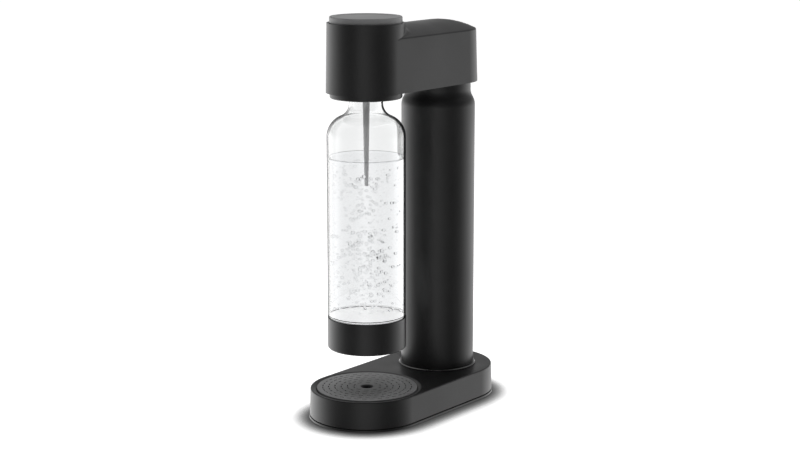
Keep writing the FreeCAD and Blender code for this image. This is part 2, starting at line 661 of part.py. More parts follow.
def carbonation_head():
    """The socket that seals the bottle, with drillings for the gas and for the relief valve."""
    body = turned([
        (SOCKET_BORE, UNDERSIDE_TOP), (FLANGE_RADIUS, UNDERSIDE_TOP), (FLANGE_RADIUS, FLANGE_TOP),
        (SOCKET_RADIUS, FLANGE_TOP), (SOCKET_RADIUS, FRAME_BOTTOM), (0, FRAME_BOTTOM),
        (0, SOCKET_CEILING), (SOCKET_BORE, SOCKET_CEILING),
    ], HEAD_Y)
    gas_way = rod(GAS_PORT_RADIUS, point(0, HEAD_Y, PORT_Z), point(0, HEAD_Y + SOCKET_RADIUS + PAST, PORT_Z))
    nozzle_way = disc(GAS_PORT_RADIUS, SOCKET_CEILING, PORT_Z, HEAD_Y)
    nozzle_hole = disc(NOZZLE_RADIUS + PRESS_FIT, SOCKET_CEILING - PAST, NOZZLE_TOP, HEAD_Y)
    relief_low = disc(GAS_PORT_RADIUS, SOCKET_CEILING - PAST, RELIEF_CROSS_Z, HEAD_Y, RELIEF_X / 2)
    relief_cross = rod(GAS_PORT_RADIUS, point(RELIEF_X / 2, HEAD_Y, RELIEF_CROSS_Z),
                       point(RELIEF_X, HEAD_Y, RELIEF_CROSS_Z))
    relief_high = disc(GAS_PORT_RADIUS, RELIEF_CROSS_Z, FRAME_BOTTOM + PAST, HEAD_Y, RELIEF_X)
    drillings = [gas_way, nozzle_way, nozzle_hole, relief_low, relief_cross, relief_high]
    for x, y in FRAME_SCREW_PLACES:
        hole_bottom = FRAME_TOP - FRAME_SCREW_LENGTH - PAST
        drillings.append(disc(FRAME_SCREW_RADIUS + SCREW_PLAY, hole_bottom, FRAME_TOP, y, x))
    return cut_all(body, drillings)


def bottle_seal():
    return tube(SOCKET_BORE - CLEAR, SEAL_BORE, MOUTH, SOCKET_CEILING, HEAD_Y)


NOZZLE_BORE = 0.7
NOZZLE_TAPER_TOP = 326.0
NOZZLE_NUT_FLATS = 12.0
NOZZLE_NUT_HEIGHT = 5.0


def nozzle():
    """A tapered gas tube that dips into the water, with a round tip."""
    shoulder = (NOZZLE_TIP_RADIUS, NOZZLE_TIP + NOZZLE_TIP_RADIUS)
    mouth = (NOZZLE_BORE, shoulder[1] - math.sqrt(NOZZLE_TIP_RADIUS ** 2 - NOZZLE_BORE ** 2))
    spans = polyline([
        mouth, (NOZZLE_BORE, NOZZLE_TOP), (NOZZLE_RADIUS, NOZZLE_TOP), (NOZZLE_RADIUS, NOZZLE_TAPER_TOP),
        shoulder,
    ])
    spans.append(arc_between(shoulder, mouth, NOZZLE_TIP_RADIUS, -1))
    return lathe(spans, HEAD_Y)


def hexagon(across_flats, bottom, top, y, x=0.0):
    radius = across_flats / math.sqrt(3)
    corners = []
    for index in range(7):
        angle = math.radians(60 * index)
        corners.append(point(x + radius * math.cos(angle), y + radius * math.sin(angle), bottom))
    return Part.Face(Part.makePolygon(corners)).extrude(point(0, 0, top - bottom))


def nozzle_nut():
    nut_bottom = SOCKET_CEILING - NOZZLE_NUT_HEIGHT
    hole = disc(NOZZLE_RADIUS + PRESS_FIT, nut_bottom - PAST, SOCKET_CEILING + PAST, HEAD_Y)
    return hexagon(NOZZLE_NUT_FLATS, nut_bottom, SOCKET_CEILING, HEAD_Y).cut(hole)


def relief_body():
    return turned([
        (GAS_PORT_RADIUS, FRAME_BOTTOM), (RELIEF_BODY_RADIUS, FRAME_BOTTOM),
        (RELIEF_BODY_RADIUS, RELIEF_BODY_TOP), (RELIEF_BORE, RELIEF_BODY_TOP),
        (RELIEF_BORE, RELIEF_SEAT_TOP), (GAS_PORT_RADIUS, RELIEF_SEAT_TOP),
    ], HEAD_Y, RELIEF_X)


RELIEF_POPPET_TOP = 380.0
RELIEF_POPPET_EDGE = 0.6
RELIEF_SPRING_RADIUS = 2.8
RELIEF_SPRING_WIRE = 0.4
RELIEF_SPRING_TURNS = 4.5


def relief_poppet():
    radius = RELIEF_BORE - RUNNING
    bottom = RELIEF_SEAT_TOP + PRESS_FIT
    return turned([
        (0, bottom), (radius - RELIEF_POPPET_EDGE, bottom), (radius, bottom + RELIEF_POPPET_EDGE),
        (radius, RELIEF_POPPET_TOP), (0, RELIEF_POPPET_TOP),
    ], HEAD_Y, RELIEF_X)


def relief_spring():
    bottom = RELIEF_POPPET_TOP + PRESS_FIT
    top = RELIEF_BODY_TOP - RELIEF_CAP_DEPTH - PRESS_FIT
    return spring(RELIEF_SPRING_RADIUS, RELIEF_SPRING_WIRE, bottom, top, RELIEF_SPRING_TURNS,
                  HEAD_Y, RELIEF_X)


def relief_cap():
    plug_radius = RELIEF_BORE - PRESS_FIT
    plug_bottom = RELIEF_BODY_TOP - RELIEF_CAP_DEPTH
    return turned([
        (RELIEF_VENT_RADIUS, plug_bottom), (plug_radius, plug_bottom), (plug_radius, RELIEF_BODY_TOP),
        (RELIEF_BODY_RADIUS, RELIEF_BODY_TOP), (RELIEF_BODY_RADIUS, RELIEF_CAP_TOP),
        (RELIEF_VENT_RADIUS, RELIEF_CAP_TOP),
    ], HEAD_Y, RELIEF_X)


FRAME_SCREW_RADIUS = 1.5
FRAME_SCREW_LENGTH = 9.0
FRAME_SCREW_HEAD_RADIUS = 3.0
FRAME_SCREW_HEAD_HEIGHT = 2.0
FRAME_SCREW_PLACES = [(-19.0, HEAD_Y), (0.0, HEAD_Y - 19.0), (0.0, HEAD_Y + 19.0)]
TUBE_SLOT_FRONT = 1.0
TUBE_SLOT_REAR = COLUMN_Y - 6.0
TUBE_SLOT_HALF_WIDTH = 6.0


def arm_frame():
    """The flat beam inside the arm that the valve block and the carbonation head hang from."""
    body = box(-FRAME_HALF_WIDTH, FRAME_HALF_WIDTH, HEAD_Y, COLUMN_Y, FRAME_BOTTOM, FRAME_TOP)
    body = body.fuse(disc(FRAME_HALF_WIDTH, FRAME_BOTTOM, FRAME_TOP, HEAD_Y))
    body = body.fuse(disc(SPINE_NECK_OUTER, FRAME_BOTTOM, FRAME_TOP, COLUMN_Y)).removeSplitter()
    low = FRAME_BOTTOM - PAST
    high = FRAME_TOP + PAST
    holes = [
        disc(BLOCK_RADIUS + SCREW_PLAY, low, high, COLUMN_Y),
        disc(RELIEF_BODY_RADIUS + CLEAR, low, high, HEAD_Y, RELIEF_X),
        box(-TUBE_SLOT_HALF_WIDTH, TUBE_SLOT_HALF_WIDTH, TUBE_SLOT_FRONT, TUBE_SLOT_REAR, low, high),
    ]
    for x, y in FRAME_SCREW_PLACES:
        holes.append(disc(FRAME_SCREW_RADIUS + SCREW_PLAY, low, high, y, x))
    return cut_all(body, holes)


def frame_screws():
    screws = []
    for x, y in FRAME_SCREW_PLACES:
        screws.append(screw(x, y, FRAME_TOP, FRAME_SCREW_LENGTH, FRAME_SCREW_RADIUS,
                            FRAME_SCREW_HEAD_RADIUS, FRAME_SCREW_HEAD_HEIGHT, 1))
    return Part.Compound(screws)


GUIDE_SLEEVE_RADIUS = 8.0
GUIDE_SLEEVE_HEIGHT = 6.0


def button_guide():
    """A fixed disc under the button with a sleeve for its stem."""
    sleeve_top = GUIDE_TOP + GUIDE_SLEEVE_HEIGHT
    low = GUIDE_BOTTOM - PAST
    plate = disc(GUIDE_RADIUS, GUIDE_BOTTOM, GUIDE_TOP, HEAD_Y)
    plate = plate.fuse(disc(GUIDE_SLEEVE_RADIUS, GUIDE_BOTTOM, sleeve_top, HEAD_Y))
    holes = [disc(BUTTON_STEM_RADIUS + RUNNING, low, sleeve_top + PAST, HEAD_Y)]
    for x, y in GUIDE_SCREW_PLACES:
        holes.append(disc(GUIDE_SCREW_RADIUS + SCREW_PLAY, low, GUIDE_TOP + PAST, y, x))
    return cut_all(plate, holes)


def guide_screws():
    screws = []
    for x, y in GUIDE_SCREW_PLACES:
        screws.append(screw(x, y, GUIDE_TOP, GUIDE_SCREW_LENGTH, GUIDE_SCREW_RADIUS,
                            GUIDE_SCREW_HEAD_RADIUS, GUIDE_SCREW_HEAD_HEIGHT, 1))
    return Part.Compound(screws)


DISH_RADIUS = 29.5
DISH_DEPTH = 0.35
DISH_SLOPE = 0.5
BUTTON_EDGE = 1.0
BUTTON_EDGE_BREAK = 0.3   # the edge is cut twice, so that it looks round
BUTTON_SPRING_RADIUS = 11.0
BUTTON_SPRING_WIRE = 0.7
BUTTON_SPRING_TURNS = 5


def button_cap():
    """A cup-shaped button with a shallow dish in its top and a stem that reaches the lever."""
    underside = HEIGHT - BUTTON_SKIN
    inner = BUTTON_RADIUS - BUTTON_WALL
    cap = turned([
        (0, HEIGHT - DISH_DEPTH), (DISH_RADIUS - DISH_SLOPE, HEIGHT - DISH_DEPTH), (DISH_RADIUS, HEIGHT),
        (BUTTON_RADIUS - BUTTON_EDGE, HEIGHT),
        (BUTTON_RADIUS - BUTTON_EDGE_BREAK, HEIGHT - BUTTON_EDGE_BREAK),
        (BUTTON_RADIUS, HEIGHT - BUTTON_EDGE), (BUTTON_RADIUS, BUTTON_SKIRT_BOTTOM),
        (inner, BUTTON_SKIRT_BOTTOM), (inner, underside), (0, underside),
    ], HEAD_Y)
    stem = disc(BUTTON_STEM_RADIUS, LEVER_TOP + CLEAR, underside + PAST, HEAD_Y)
    return cap.fuse(stem)


def button_spring():
    return spring(BUTTON_SPRING_RADIUS, BUTTON_SPRING_WIRE, GUIDE_TOP + PRESS_FIT,
                  HEIGHT - BUTTON_SKIN - PRESS_FIT, BUTTON_SPRING_TURNS, HEAD_Y)


# ---- Valve block, lever and gas line ------------------------------------------------------------------

GASKET_THICKNESS = 1.5
CHAMBER_TOP = 375.0
GROOVE_BOTTOM = 377.0
GROOVE_TOP = 379.1
GROOVE_RADIUS = 4.2
BLOCK_PORT_Z = 374.0
CHAMBER_RADIUS = 3.0
SEAL_WIRE = 1.0
PIN_EDGE = 0.4
LEVER_PAD_RADIUS = 9.0
LEVER_BOSS_RADIUS = 5.5
BRACKET_INNER = 7.0
BRACKET_OUTER = 10.0
BRACKET_FOOT = 2.5
BRACKET_FRONT = COLUMN_Y + BLOCK_RADIUS + 0.6
BRACKET_REAR = LEVER_PIVOT_Y + 6.0
BRACKET_TOP = LEVER_PIVOT_Z + 5.0
PIN_END = BRACKET_OUTER + 0.5


def valve_block():
    """The block that the gas cylinder screws into, with the plunger's bore and seal groove."""
    gasket_top = VALVE_TOP + GASKET_THICKNESS
    block = disc(BLOCK_RADIUS, BLOCK_BOTTOM, BLOCK_TOP, COLUMN_Y)
    gas_way = rod(GAS_PORT_RADIUS, point(0, COLUMN_Y, BLOCK_PORT_Z),
                  point(0, COLUMN_Y - BLOCK_RADIUS - PAST, BLOCK_PORT_Z))
    return cut_all(block, [
        disc(VALVE_THREAD_RADIUS + RUNNING, BLOCK_BOTTOM - PAST, gasket_top, COLUMN_Y),
        disc(CHAMBER_RADIUS, gasket_top - PAST, CHAMBER_TOP, COLUMN_Y),
        disc(PLUNGER_RADIUS + RUNNING, CHAMBER_TOP - PAST, BLOCK_TOP + PAST, COLUMN_Y),
        disc(GROOVE_RADIUS, GROOVE_BOTTOM, GROOVE_TOP, COLUMN_Y),
        gas_way,
    ])


def cylinder_gasket():
    return tube(VALVE_THREAD_RADIUS - SCREW_PLAY, CHAMBER_RADIUS, VALVE_TOP, VALVE_TOP + GASKET_THICKNESS,
                COLUMN_Y)


def plunger_seal():
    middle = (GROOVE_BOTTOM + GROOVE_TOP) / 2
    ring = Part.makeTorus(PLUNGER_RADIUS + RUNNING + SEAL_WIRE, SEAL_WIRE)
    ring.translate(point(0, COLUMN_Y, middle))
    return ring


def plunger():
    """The pin that the lever pushes down onto the cylinder's own valve pin."""
    bottom = VALVE_TOP + VALVE_PIN_GAP
    top = LEVER_BOTTOM - CLEAR
    tip_radius = PLUNGER_RADIUS - PIN_EDGE
    return turned([
        (0, bottom), (tip_radius, bottom), (PLUNGER_RADIUS, bottom + PIN_EDGE),
        (PLUNGER_RADIUS, top - PIN_EDGE), (tip_radius, top), (0, top),
    ], COLUMN_Y)


def pivot_rod(radius, half_length):
    """A round bar along the lever's pivot axis."""
    start = point(-half_length, LEVER_PIVOT_Y, LEVER_PIVOT_Z)
    return rod(radius, start, point(half_length, LEVER_PIVOT_Y, LEVER_PIVOT_Z))


def actuator_lever():
    bar = box(-LEVER_HALF_WIDTH, LEVER_HALF_WIDTH, HEAD_Y, LEVER_PIVOT_Y, LEVER_BOTTOM, LEVER_TOP)
    pad = disc(LEVER_PAD_RADIUS, LEVER_BOTTOM, LEVER_TOP, HEAD_Y)
    boss = pivot_rod(LEVER_BOSS_RADIUS, LEVER_HALF_WIDTH)
    hole = pivot_rod(LEVER_PIN_RADIUS + RUNNING, LEVER_HALF_WIDTH + PAST)
    return join([bar, pad, boss]).cut(hole)


def lever_bracket():
    """Two ears on a foot behind the valve block, which hold the lever's pin."""
    bracket = box(-BRACKET_OUTER, BRACKET_OUTER, BRACKET_FRONT, BRACKET_REAR, FRAME_TOP,
                  FRAME_TOP + BRACKET_FOOT)
    for side in (-1, 1):
        inner, outer = sorted((side * BRACKET_INNER, side * BRACKET_OUTER))
        ear = box(inner, outer, BRACKET_FRONT, BRACKET_REAR, FRAME_TOP, BRACKET_TOP)
        bracket = bracket.fuse(ear)
    return bracket.cut(pivot_rod(LEVER_PIN_RADIUS + PRESS_FIT / 2, BRACKET_OUTER + PAST))


def lever_pin():
    return pivot_rod(LEVER_PIN_RADIUS, PIN_END)


def tube_fittings():
    block_face = COLUMN_Y - BLOCK_RADIUS
    socket_face = HEAD_Y + SOCKET_RADIUS
    fittings = []
    for start, end, z in ((block_face, block_face - FITTING_LENGTH, BLOCK_PORT_Z),
                          (socket_face, socket_face + FITTING_LENGTH, PORT_Z)):
        nut = rod(FITTING_RADIUS, point(0, start, z), point(0, end, z))
        fittings.append(nut.cut(rod(GAS_PORT_RADIUS, point(0, start, z), point(0, end, z))))
    return Part.Compound(fittings)


GAS_TUBE_RUN = 16.0       # from each fitting to the corner of the bend
GAS_TUBE_REACH = 6.0      # from the corner to where the bend starts


def gas_tube():
    """Straight runs joined by tangent arcs, from the valve block's fitting to the head's fitting."""
    start = point(0, COLUMN_Y - BLOCK_RADIUS - FITTING_LENGTH, BLOCK_PORT_Z)
    end = point(0, HEAD_Y + SOCKET_RADIUS + FITTING_LENGTH, PORT_Z)
    corner_a = point(0, start.y - GAS_TUBE_RUN, BLOCK_PORT_Z)
    corner_b = point(0, end.y + GAS_TUBE_RUN, PORT_Z)
    slope = corner_b - corner_a
    reach = GAS_TUBE_REACH
    slope_step = FreeCAD.Vector(slope).normalize() * reach
    level_step = point(0, -reach, 0)
    bend_radius = reach / math.tan(abs(math.atan2(slope.z, -slope.y)) / 2)
    a_in = corner_a - level_step
    a_out = corner_a + slope_step
    b_in = corner_b - slope_step
    b_out = corner_b + level_step

    def middle(corner, before, after):
        towards = (before + after) * 0.5 - corner
        centre = corner + towards.normalize() * math.hypot(bend_radius, reach)
        return centre + (corner - centre).normalize() * bend_radius

    path = Part.Wire([
        Part.LineSegment(start, a_in).toShape(),
        Part.Arc(a_in, middle(corner_a, a_in, a_out), a_out).toShape(),
        Part.LineSegment(a_out, b_in).toShape(),
        Part.Arc(b_in, middle(corner_b, b_in, b_out), b_out).toShape(),
        Part.LineSegment(b_out, end).toShape(),
    ])
    section = Part.Wire(Part.Circle(start, point(0, 1, 0), TUBE_RADIUS).toShape())
    return path.makePipeShell([section], True, True)


# ---- Gas cylinder -------------------------------------------------------------------------------------

GAS_NECK_RADIUS = 13.0
GAS_CORNER = 9.0
GAS_NECK_BORE = 9.0
GAS_NECK_LENGTH = 6.0
VALVE_PLUG_PLAY = 0.1
VALVE_PLUG_EDGE = 0.5
VALVE_KNOB_RADIUS = 12.6
VALVE_KNOB_TOP = 354.0
VALVE_WAIST_RADIUS = 9.0
VALVE_EDGE = 1.0
VALVE_PIN_RADIUS = 1.5
VALVE_RECESS_RADIUS = 2.6
VALVE_RECESS_DEPTH = 2.0
VALVE_CHAMBER_RADIUS = 3.5
VALVE_SPRING_RADIUS = 2.3
VALVE_SPRING_WIRE = 0.4
VALVE_SPRING_TURNS = 5
VALVE_CHAMBER_BOTTOM = 346.0
VALVE_CHAMBER_TOP = 358.0
VALVE_PIN_HEAD_BOTTOM = 355.0


def gas_side(inward):
    """The cylinder's outline from the middle of its foot to its neck, moved inward by a wall."""
    corner = GAS_CORNER - inward
    radius = GAS_RADIUS - inward
    bottom = GAS_BOTTOM + inward
    shoulder_height = GAS_NECK_TOP - GAS_NECK_LENGTH - GAS_SHOULDER
    flat = (radius - corner, bottom)
    side = (radius, bottom + corner)
    shoulder = (radius, GAS_SHOULDER)
    neck_wall = GAS_NECK_RADIUS - GAS_NECK_BORE
    neck = (GAS_NECK_RADIUS - neck_wall * inward / GAS_WALL, GAS_SHOULDER + shoulder_height - inward)
    narrowing = shoulder[0] - neck[0]
    shoulder_radius = (narrowing ** 2 + (neck[1] - shoulder[1]) ** 2) / (2 * narrowing)
    return [
        [(0, bottom), flat],
        arc_between(flat, side, corner, 1),
        [side, shoulder],
        arc_between(shoulder, neck, shoulder_radius, 1),
    ]


def gas_cylinder():
    """A steel cylinder with a round foot and shoulder, hollow, with an open neck for its valve."""
    outside = gas_side(0)
    inside = gas_side(GAS_WALL)
    outer_neck = outside[-1][-1]
    inner_neck = inside[-1][-1]
    spans = outside + polyline([
        outer_neck, (GAS_NECK_RADIUS, GAS_NECK_TOP), (GAS_NECK_BORE, GAS_NECK_TOP), inner_neck,
    ])
    spans += [span[::-1] for span in reversed(inside)]
    spans.append([(0, GAS_BOTTOM + GAS_WALL), (0, GAS_BOTTOM)])
    return lathe(spans, COLUMN_Y)


def cylinder_valve():
    stem_bore = VALVE_PIN_RADIUS + RUNNING
    plug_radius = GAS_NECK_BORE - VALVE_PLUG_PLAY
    plug_bottom = GAS_NECK_TOP - GAS_NECK_LENGTH
    recess_floor = VALVE_TOP - VALVE_RECESS_DEPTH
    return turned([
        (0, plug_bottom), (plug_radius - VALVE_PLUG_EDGE, plug_bottom),
        (plug_radius, plug_bottom + VALVE_PLUG_EDGE), (plug_radius, GAS_NECK_TOP),
        (VALVE_KNOB_RADIUS, GAS_NECK_TOP), (VALVE_KNOB_RADIUS, VALVE_KNOB_TOP - VALVE_EDGE),
        (VALVE_KNOB_RADIUS - VALVE_EDGE, VALVE_KNOB_TOP), (VALVE_WAIST_RADIUS, VALVE_KNOB_TOP),
        (VALVE_WAIST_RADIUS, VALVE_THREAD_BOTTOM), (VALVE_THREAD_RADIUS, VALVE_THREAD_BOTTOM + VALVE_EDGE),
        (VALVE_THREAD_RADIUS, VALVE_TOP - VALVE_EDGE), (VALVE_THREAD_RADIUS - VALVE_EDGE, VALVE_TOP),
        (VALVE_RECESS_RADIUS, VALVE_TOP), (VALVE_RECESS_RADIUS, recess_floor), (stem_bore, recess_floor),
        (stem_bore, VALVE_CHAMBER_TOP), (VALVE_CHAMBER_RADIUS, VALVE_CHAMBER_TOP),
        (VALVE_CHAMBER_RADIUS, VALVE_CHAMBER_BOTTOM), (0, VALVE_CHAMBER_BOTTOM),
    ], COLUMN_Y)


def cylinder_valve_pin():
    top = VALVE_TOP - VALVE_PIN_GAP
    head_radius = VALVE_CHAMBER_RADIUS - CLEAR
    head_top = VALVE_CHAMBER_TOP - PRESS_FIT
    return turned([
        (0, VALVE_PIN_HEAD_BOTTOM), (head_radius, VALVE_PIN_HEAD_BOTTOM), (head_radius, head_top),
        (VALVE_PIN_RADIUS, head_top), (VALVE_PIN_RADIUS, top), (0, top),
    ], COLUMN_Y)


def cylinder_valve_spring():
    return spring(VALVE_SPRING_RADIUS, VALVE_SPRING_WIRE, VALVE_CHAMBER_BOTTOM + PRESS_FIT,
                  VALVE_PIN_HEAD_BOTTOM - PRESS_FIT, VALVE_SPRING_TURNS, COLUMN_Y)


# ---- Bottle -------------------------------------------------------------------------------------------

THREAD_RIDGES = [341.5, 345.0, 348.5]
THREAD_CREST = 18.0
THREAD_HALF_HEIGHT = 0.9
THREAD_HALF_FLAT = 0.3
BOTTLE_CORNER = 6.0
BOTTLE_FOOT_RADIUS = 38.6  # the part that sits in the base cup
BOTTLE_PUNT = 7.0          # how far the bottom is pushed up in the middle, and how far its edge slopes in
BOTTLE_STEP = 0.9          # height of the slope from the foot out to the side
CUP_GAP = 0.1
CUP_EDGE = 0.6
CUP_RECESS = 1.2
CUP_RECESS_RADIUS = 28.4
CUP_INNER_CORNER = 1.5
CUP_BORE = 38.7


def bottle_side(inward):
    """The bottle's outline from the middle of its raised bottom to its mouth, moved inward by a wall."""
    corner = BOTTLE_CORNER - inward
    foot = BOTTLE_FOOT_RADIUS - inward
    body = BOTTLE_RADIUS - inward
    bottom = CUP_BOTTOM + CUP_FLOOR + CUP_GAP + inward
    step = CUP_TOP + CUP_GAP + inward
    arc_centre_r = BOTTLE_RADIUS - SHOULDER_ARC
    throat_centre_r = NECK_RADIUS + THROAT_ARC
    across = throat_centre_r - arc_centre_r
    between = SHOULDER_ARC + THROAT_ARC
    throat_z = SHOULDER_START + math.sqrt(between ** 2 - across ** 2)
    share = (SHOULDER_ARC - inward) / between
    tangent = (arc_centre_r + across * share, SHOULDER_START + (throat_z - SHOULDER_START) * share)
    neck = (NECK_RADIUS - inward, throat_z)
    spans = polyline([(0, bottom + BOTTLE_PUNT), (foot - corner - BOTTLE_PUNT, bottom),
                      (foot - corner, bottom)])
    spans.append(arc_between((foot - corner, bottom), (foot, bottom + corner), corner, 1))
    spans += polyline([(foot, bottom + corner), (foot, step), (body, step + BOTTLE_STEP),
                       (body, SHOULDER_START)])
    spans.append(arc_between((body, SHOULDER_START), tangent, SHOULDER_ARC - inward, 1))
    spans.append(arc_between(tangent, neck, THROAT_ARC + inward, -1))
    spans.append([neck, (NECK_RADIUS - inward, MOUTH)])
    return spans


def bottle_body():
    outside = bottle_side(0)
    inside = bottle_side(BOTTLE_WALL)
    bottom_outer = outside[0][0]
    bottom_inner = inside[0][0]
    spans = outside + [[outside[-1][-1], inside[-1][-1]]]
    spans += [span[::-1] for span in reversed(inside)]
    spans.append([bottom_inner, bottom_outer])
    body = lathe(spans, HEAD_Y)
    for z in THREAD_RIDGES:
        root = NECK_RADIUS - CLEAR
        ridge = turned([
            (root, z - THREAD_HALF_HEIGHT), (THREAD_CREST, z - THREAD_HALF_FLAT),
            (THREAD_CREST, z + THREAD_HALF_FLAT), (root, z + THREAD_HALF_HEIGHT),
        ], HEAD_Y)
        body = body.fuse(ridge)
    return body


def bottle_base_cup():
    floor = CUP_BOTTOM + CUP_FLOOR
    recess = CUP_BOTTOM + CUP_RECESS
    corner_start = (CUP_RADIUS - CUP_CORNER, CUP_BOTTOM)
    corner_end = (CUP_RADIUS, CUP_BOTTOM + CUP_CORNER)
    spans = polyline([(0, recess), (CUP_RECESS_RADIUS, recess),
                      (CUP_RECESS_RADIUS + CUP_RECESS, CUP_BOTTOM), corner_start])
    spans.append(arc_between(corner_start, corner_end, CUP_CORNER, 1))
    spans += polyline([
        corner_end, (CUP_RADIUS, CUP_TOP - CUP_EDGE), (CUP_RADIUS - CUP_EDGE, CUP_TOP), (CUP_BORE, CUP_TOP),
        (CUP_BORE, floor + CUP_INNER_CORNER), (CUP_BORE - CUP_INNER_CORNER, floor), (0, floor), (0, recess),
    ])
    return lathe(spans, HEAD_Y)


# ---- Write every node ---------------------------------------------------------------------------------

NODES = [
    base_shell, base_plate, rubber_feet, base_screws, cylinder_cradle, drip_tray, drip_grille,
    column_shell, rear_cover, cover_clips, column_foot_ring, spine,
    head_shell, arm_underside, underside_screws, head_collar,
    carbonation_head, bottle_seal, nozzle, nozzle_nut,
    relief_body, relief_poppet, relief_spring, relief_cap,
    arm_frame, frame_screws, button_guide, guide_screws, button_cap, button_spring,
    valve_block, cylinder_gasket, plunger_seal, plunger,
    actuator_lever, lever_bracket, lever_pin, tube_fittings, gas_tube,
    gas_cylinder, cylinder_valve, cylinder_valve_pin, cylinder_valve_spring,
    bottle_body, bottle_base_cup,
]

for make_node in NODES:
    save(make_node.__name__, make_node())
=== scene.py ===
import json
import math
import random

import bmesh
import bpy
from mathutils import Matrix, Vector


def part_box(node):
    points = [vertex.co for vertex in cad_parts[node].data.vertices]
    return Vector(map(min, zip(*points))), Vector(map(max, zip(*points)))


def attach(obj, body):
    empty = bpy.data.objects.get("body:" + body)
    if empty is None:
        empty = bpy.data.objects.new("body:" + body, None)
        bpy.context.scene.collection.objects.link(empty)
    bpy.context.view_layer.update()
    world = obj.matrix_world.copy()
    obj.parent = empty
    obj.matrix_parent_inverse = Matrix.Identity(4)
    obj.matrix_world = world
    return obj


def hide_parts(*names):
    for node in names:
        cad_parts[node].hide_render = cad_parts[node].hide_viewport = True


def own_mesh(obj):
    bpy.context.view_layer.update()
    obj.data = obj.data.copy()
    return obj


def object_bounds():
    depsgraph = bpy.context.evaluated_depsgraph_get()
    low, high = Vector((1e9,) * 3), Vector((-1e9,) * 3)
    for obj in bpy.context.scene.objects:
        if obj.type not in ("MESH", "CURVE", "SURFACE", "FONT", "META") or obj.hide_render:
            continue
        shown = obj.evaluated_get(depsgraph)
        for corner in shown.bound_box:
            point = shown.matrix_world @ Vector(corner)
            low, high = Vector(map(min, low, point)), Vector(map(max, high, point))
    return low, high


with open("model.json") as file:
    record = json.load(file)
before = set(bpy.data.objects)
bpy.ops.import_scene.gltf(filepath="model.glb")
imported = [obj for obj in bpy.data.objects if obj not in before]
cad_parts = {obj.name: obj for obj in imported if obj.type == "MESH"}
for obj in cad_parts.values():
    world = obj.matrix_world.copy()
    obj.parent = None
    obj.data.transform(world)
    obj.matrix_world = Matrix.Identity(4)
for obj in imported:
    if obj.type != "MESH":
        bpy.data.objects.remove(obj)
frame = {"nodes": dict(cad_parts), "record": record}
cad_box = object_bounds()
random.seed(7)

# Shapes are worked out in millimetres and turned into metres when a piece is made.
MM = 0.001


def limits(node):
    """Lowest and highest corner of a CAD node at rest, in millimetres."""
    low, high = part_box(node)
    return low / MM, high / MM


# ---- Sizes read from the frame ----------------------------

base_low, base_high = limits("base_shell")
grille_high = limits("drip_grille")[1]
tray_low, tray_high = limits("drip_tray")
ring_low, ring_high = limits("column_foot_ring")
column_low, column_high = limits("column_shell")
cover_low, cover_high = limits("rear_cover")
head_low, head_high = limits("head_shell")
collar_low, collar_high = limits("head_collar")
underside_low = limits("arm_underside")[0]
button_low, button_high = limits("button_cap")
nozzle_low, nozzle_high = limits("nozzle")
bottle_low, bottle_high = limits("bottle_body")
cup_low, cup_high = limits("bottle_base_cup")

HEAD_Y = (button_low.y + button_high.y) / 2
COLUMN_Y = (ring_low.y + ring_high.y) / 2
AXIS_GAP = COLUMN_Y - HEAD_Y

BASE_FOOT_RADIUS = base_high.x
BASE_TOP_RADIUS = BASE_FOOT_RADIUS - 0.7
BASE_TOP = base_high.z
BASE_EDGE = 1.2
BASE_WALL = 2.6
POCKET_RADIUS = grille_high.x + 0.5
POCKET_FLOOR = tray_low.z
POCKET_WALL = 2.0
DISH_RIM_RADIUS = BASE_TOP_RADIUS - 1.7
DISH_DROP = 1.3
COLUMN_OPENING = 36.6

COLUMN_RADIUS = column_high.x
COLUMN_WALL = 2.3
WAIST_RADIUS = 34.35
WAIST_START = 314.0
WAIST_END = 331.0
COVER_HALF_ANGLE = 60.0
SEAM = 0.3

HEAD_WALL = 2.5
RIM_WALL = 2.35
HEAD_FOOT_RADIUS = 40.57
HEAD_RIM_RADIUS = 39.4
ARM_FOOT_RADIUS = cover_high.y - COLUMN_Y
ARM_TIP_RADIUS = 39.2
ARM_BOTTOM = underside_low.z
ARM_CREST = 404.0
ARM_ARCH = 86.9
ARM_EDGE = 1.2
STEP_FILLET = 6.5
COVER_TOP = cover_high.z
COLLAR_TOP = 339.2
COLLAR_SPIGOT_RADIUS = 35.2

BOTTLE_WALL = 1.3
BOTTLE_RADIUS = bottle_high.x
NECK_RADIUS = 17.1
THREAD_CREST = 18.0
THREAD_HEIGHTS = (341.5, 345.0, 348.5)
SHOULDER_START = 294.0
SHOULDER_ARC = 22.5
THROAT_ARC = 14.0
CUP_RADIUS = cup_high.x
CUP_CORNER = 2.2
CUP_FLOOR = 2.2
WATER_TOP = 271.8
FROTH_TOP = cup_high.z + 1.6


# ---- Mesh helpers -----------------------------------------

ARC_STEP = 15.0        # degrees between the points of a rounded corner
RING_STEPS = 144       # vertices round a turned piece
WAIST_STEPS = 8
WALL_STRETCH = 1.6     # most that a wall's corner may reach beyond its thickness
EDGE_ANGLE = 50.0      # edges sharper than this get a small rounding
EDGE_SEGMENTS = 3
WELD = 0.004           # vertices closer than this become one
FINE_WELD = 0.0001     # the same for small round shapes
TINY = 1e-6


